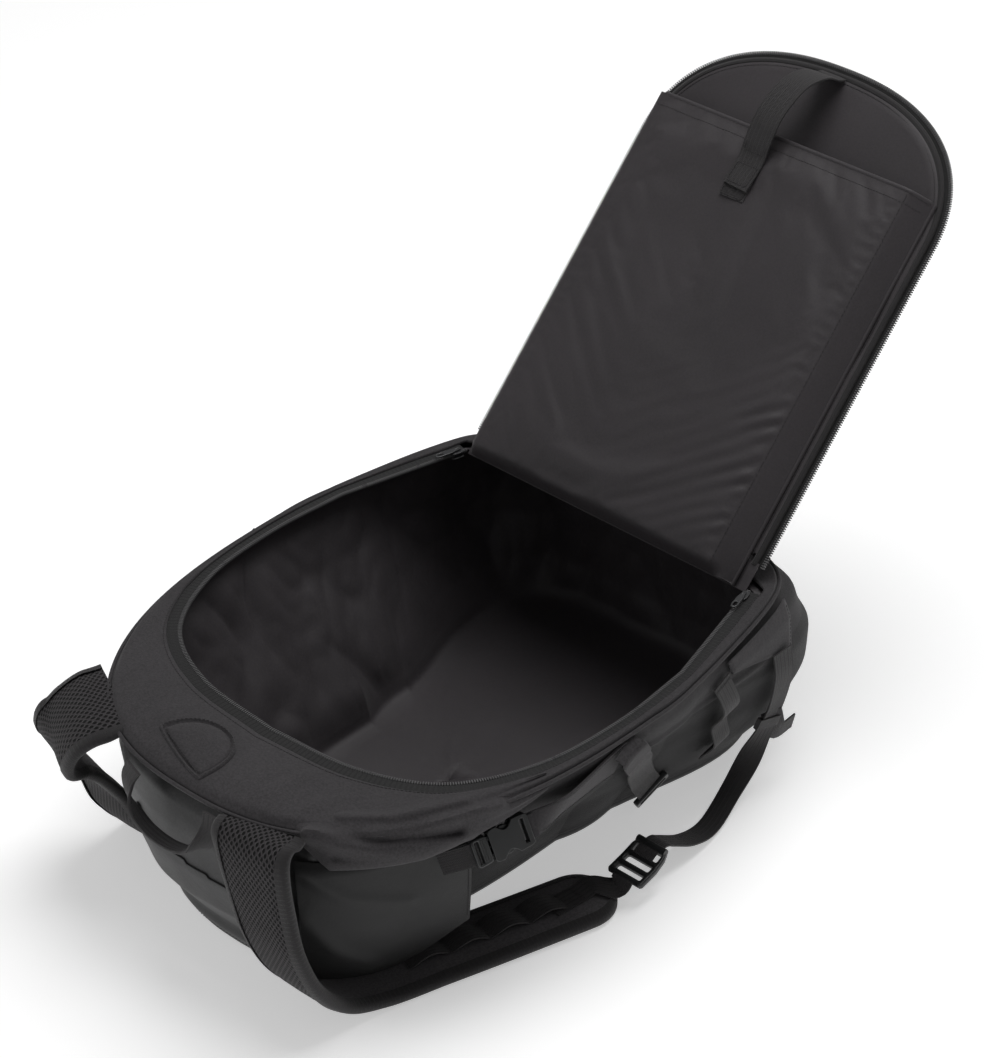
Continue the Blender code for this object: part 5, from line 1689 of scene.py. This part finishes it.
def ear_cloth():
    top = spline(
        ((0.100, -0.279, 0.152), (0.120, -0.257, 0.148), (0.148, -0.213, 0.148), (0.177, -0.165, 0.152)),
        8,
    )
    right = spline(((0.177, -0.165, 0.152), (0.174, -0.160, 0.110), (0.165, -0.153, 0.056)), 8)
    bottom = spline(
        ((0.092, -0.256, 0.003), (0.116, -0.214, 0.004), (0.136, -0.178, 0.020), (0.165, -0.153, 0.056)),
        8,
    )
    left = spline(
        ((0.100, -0.279, 0.152), (0.106, -0.280, 0.090), (0.102, -0.272, 0.040), (0.092, -0.256, 0.003)),
        8,
    )
    points = coons(top, bottom, left, right)
    u, v = np.meshgrid(np.linspace(0, 1, points.shape[1]), np.linspace(0, 1, points.shape[0]))
    out = unit(np.array([0.74, -0.67, 0.05]))
    swell = np.sin(math.pi * u.clip(0, 1)) * np.sin(math.pi * v) ** 0.7 * 0.0035
    swell = swell + rough(points, 0.05, 41) * 0.0022 * np.sin(math.pi * u) + 0.002 * u
    edge = -0.004 * (1 - smooth_step(v, 0.0, 0.05))
    points = points + (swell + edge)[..., None] * out
    folds = (
        (((0.104, -0.277, 0.145), (0.125, -0.250, 0.115), (0.150, -0.205, 0.098)), 0.006, 0.0022),
        (((0.104, -0.275, 0.100), (0.118, -0.255, 0.060), (0.130, -0.225, 0.030)), 0.008, 0.0025),
    )
    points = ridged(points, out, folds)
    # The ear's cloth gets the dark coated look: painted shade, because the ear faces away from the light.
    ear = fix_outward(grid("ear_cloth_right", points, "coated_painted_shade", thick=CLOTH_THICK))
    return ear, stitches("thread", points[2:-2, -2] + out * 0.0006, out)


def gathered_cloth():
    angles = np.linspace(-70, -27, 120)
    share = (angles + 70) / 43
    seam = level_ring(WALL_LEVELS, WALL_LEVELS[0][0], angles)
    outward = unit(seam)
    zip_side = around(opening_outline(YOKE_EDGE + 0.007), angles)
    inner = np.minimum(0.026, 0.85 * np.linalg.norm(seam - zip_side, axis=1))
    ease = np.sin(math.pi * share) ** 0.45
    drop = np.interp(share, (0, 0.12, 0.45, 0.70, 1.0), (0.012, 0.034, 0.031, 0.021, 0.010))
    reach = np.interp(share, (0, 0.12, 0.45, 0.70, 1.0), (-0.002, 0.004, 0.004, 0.001, -0.001))
    profile = [
        (-inner, 0.0020 + 0.0020 * ease), (-0.55 * inner, 0.0016 + 0.0030 * ease),
        (-0.004 + 0 * share, 0.0006 + 0.0016 * ease), (0.0026 + 0.003 * ease, -0.0045 + 0 * share),
        (reach + 0.0055 * ease, -0.55 * drop), (reach + 0.0045 * ease, -0.85 * drop),
        (reach - 0.001, -1.0 * drop), (reach - 0.009, -0.97 * drop),
    ]
    rows = [
        np.column_stack([seam + outward * r[:, None], RIM_Z + h - 0.002 * (h < 0)])
        for r, h in profile
    ]
    gather = spline(np.array(rows), 6)
    u = np.broadcast_to(share[None], gather.shape[:2])
    plan = unit(
        np.concatenate([gather[..., :2], np.zeros((*gather.shape[:2], 1))], axis=-1) + (0, 0, 0.35)
    )
    pleats = (
        ((
            (0.112, -0.274, 0.182), (0.130, -0.262, 0.176), (0.155, -0.232, 0.168),
            (0.182, -0.180, 0.166),
        ), 0.0055, 0.0100),
        ((
            (0.108, -0.276, 0.186), (0.140, -0.252, 0.188), (0.170, -0.215, 0.187),
            (0.196, -0.150, 0.184),
        ), 0.0050, 0.0080),
        (((0.106, -0.284, 0.176), (0.116, -0.276, 0.160), (0.118, -0.272, 0.150)), 0.0070, -0.0100),
        (((0.128, -0.262, 0.168), (0.160, -0.222, 0.161), (0.186, -0.172, 0.162)), 0.0045, -0.0080),
        (((0.124, -0.262, 0.184), (0.152, -0.236, 0.181), (0.186, -0.186, 0.176)), 0.0042, -0.0070),
        (((0.120, -0.246, 0.189), (0.150, -0.220, 0.190), (0.176, -0.170, 0.189)), 0.0050, 0.0045),
    )
    gather = ridged(gather, plan * np.minimum(1, 6 * np.sin(math.pi * u))[..., None], pleats)
    return fix_outward(grid("gather_cloth_right", gather, "canvas", thick=0.0012))


def make_buckle_tab(name, side):
    """The buckle's canvas tab: narrow at the buckle, widening to the seam below the zip."""
    start, along, wide, out = buckle_matrix(side)
    tail = start + along * 0.0452
    rows = []
    for u in np.linspace(0, 1, 26):
        foot = -0.118 + u * 0.098
        off = 0.0165 - 0.0125 * smooth_step(u, 0, 1) ** 0.8
        high = np.array(on_wall(foot, 0.162 + 0.017 * u, off - 0.001, side))
        low = np.array(on_wall(foot, 0.141 - 0.004 * u, off, side))
        ease = smooth_step(u, 0.0, 0.35)
        middle = tail + along * 0.10 * u
        first, last = middle + wide * 0.0105 * side, middle - wide * 0.0105 * side
        if first[2] < last[2]:
            first, last = last, first
        high, low = first + (high - first) * ease, last + (low - last) * ease
        rows.append([
            high + (low - high) * v + out * 0.0012 * math.sin(math.pi * v)
            for v in np.linspace(0, 1, 16)
        ])
    cloth = fix_outward(grid("tab", rows, "canvas", thick=0.0018))
    edge = np.array(rows)[:, -2] + out * 0.0008
    return [
        cloth, stitches("thread", edge[2:], out),
        stitches("thread", np.array(rows)[2:, 1] + out * 0.0008, out),
    ], tail, wide


def sleeve_section():
    """Across the sleeve: an upright left side, the flat front, then the gusset right of its seam."""
    top = SLEEVE_DEPTH - 0.0018
    left = [
        (-SLEEVE_HALF, 0.0035), (-0.1456, 0.0080), (-0.1457, 0.0130), (-0.1452, 0.0180),
        (-0.1436, 0.0211),
    ]
    front = [(x, top) for x in np.linspace(-0.1408, SLEEVE_SEAM, 96)]
    slope = np.linspace(0, 1, 12)[1:]
    right = [
        (SLEEVE_SEAM + (SLEEVE_HALF - SLEEVE_SEAM) * t, top - (top - 0.0035) * t**1.15)
        for t in slope
    ]
    return np.array(left + front + right)


# ---- assembly -------------------------------------------------------------------------------------
def main():
    make_camera()
    make_studio()
    make_yoke()
    make_wall()
    make_seam()
    make_front_panel()
    make_lining()
    make_body_zip()
    make_port()
    make_flap()
    make_lid_panels()
    make_lid_zip()
    make_hinge_cloth()
    make_sleeve()
    make_loop_patch()
    make_sleeve_strap()
    make_back_cushions()
    make_handle()
    make_ear()
    for name, side in SIDES.items():
        make_slider(name, side)
        make_wing(name, side)
        make_gear_loop(name, side)
        make_compression_strap(name, side)
        make_buckle(name, side)
        path, share, _ = make_pad(name, side)
        make_daisy_chain(name, path, share)
        make_strap_webbing(name, side, path, share)
        make_ladder_lock(name)


main()
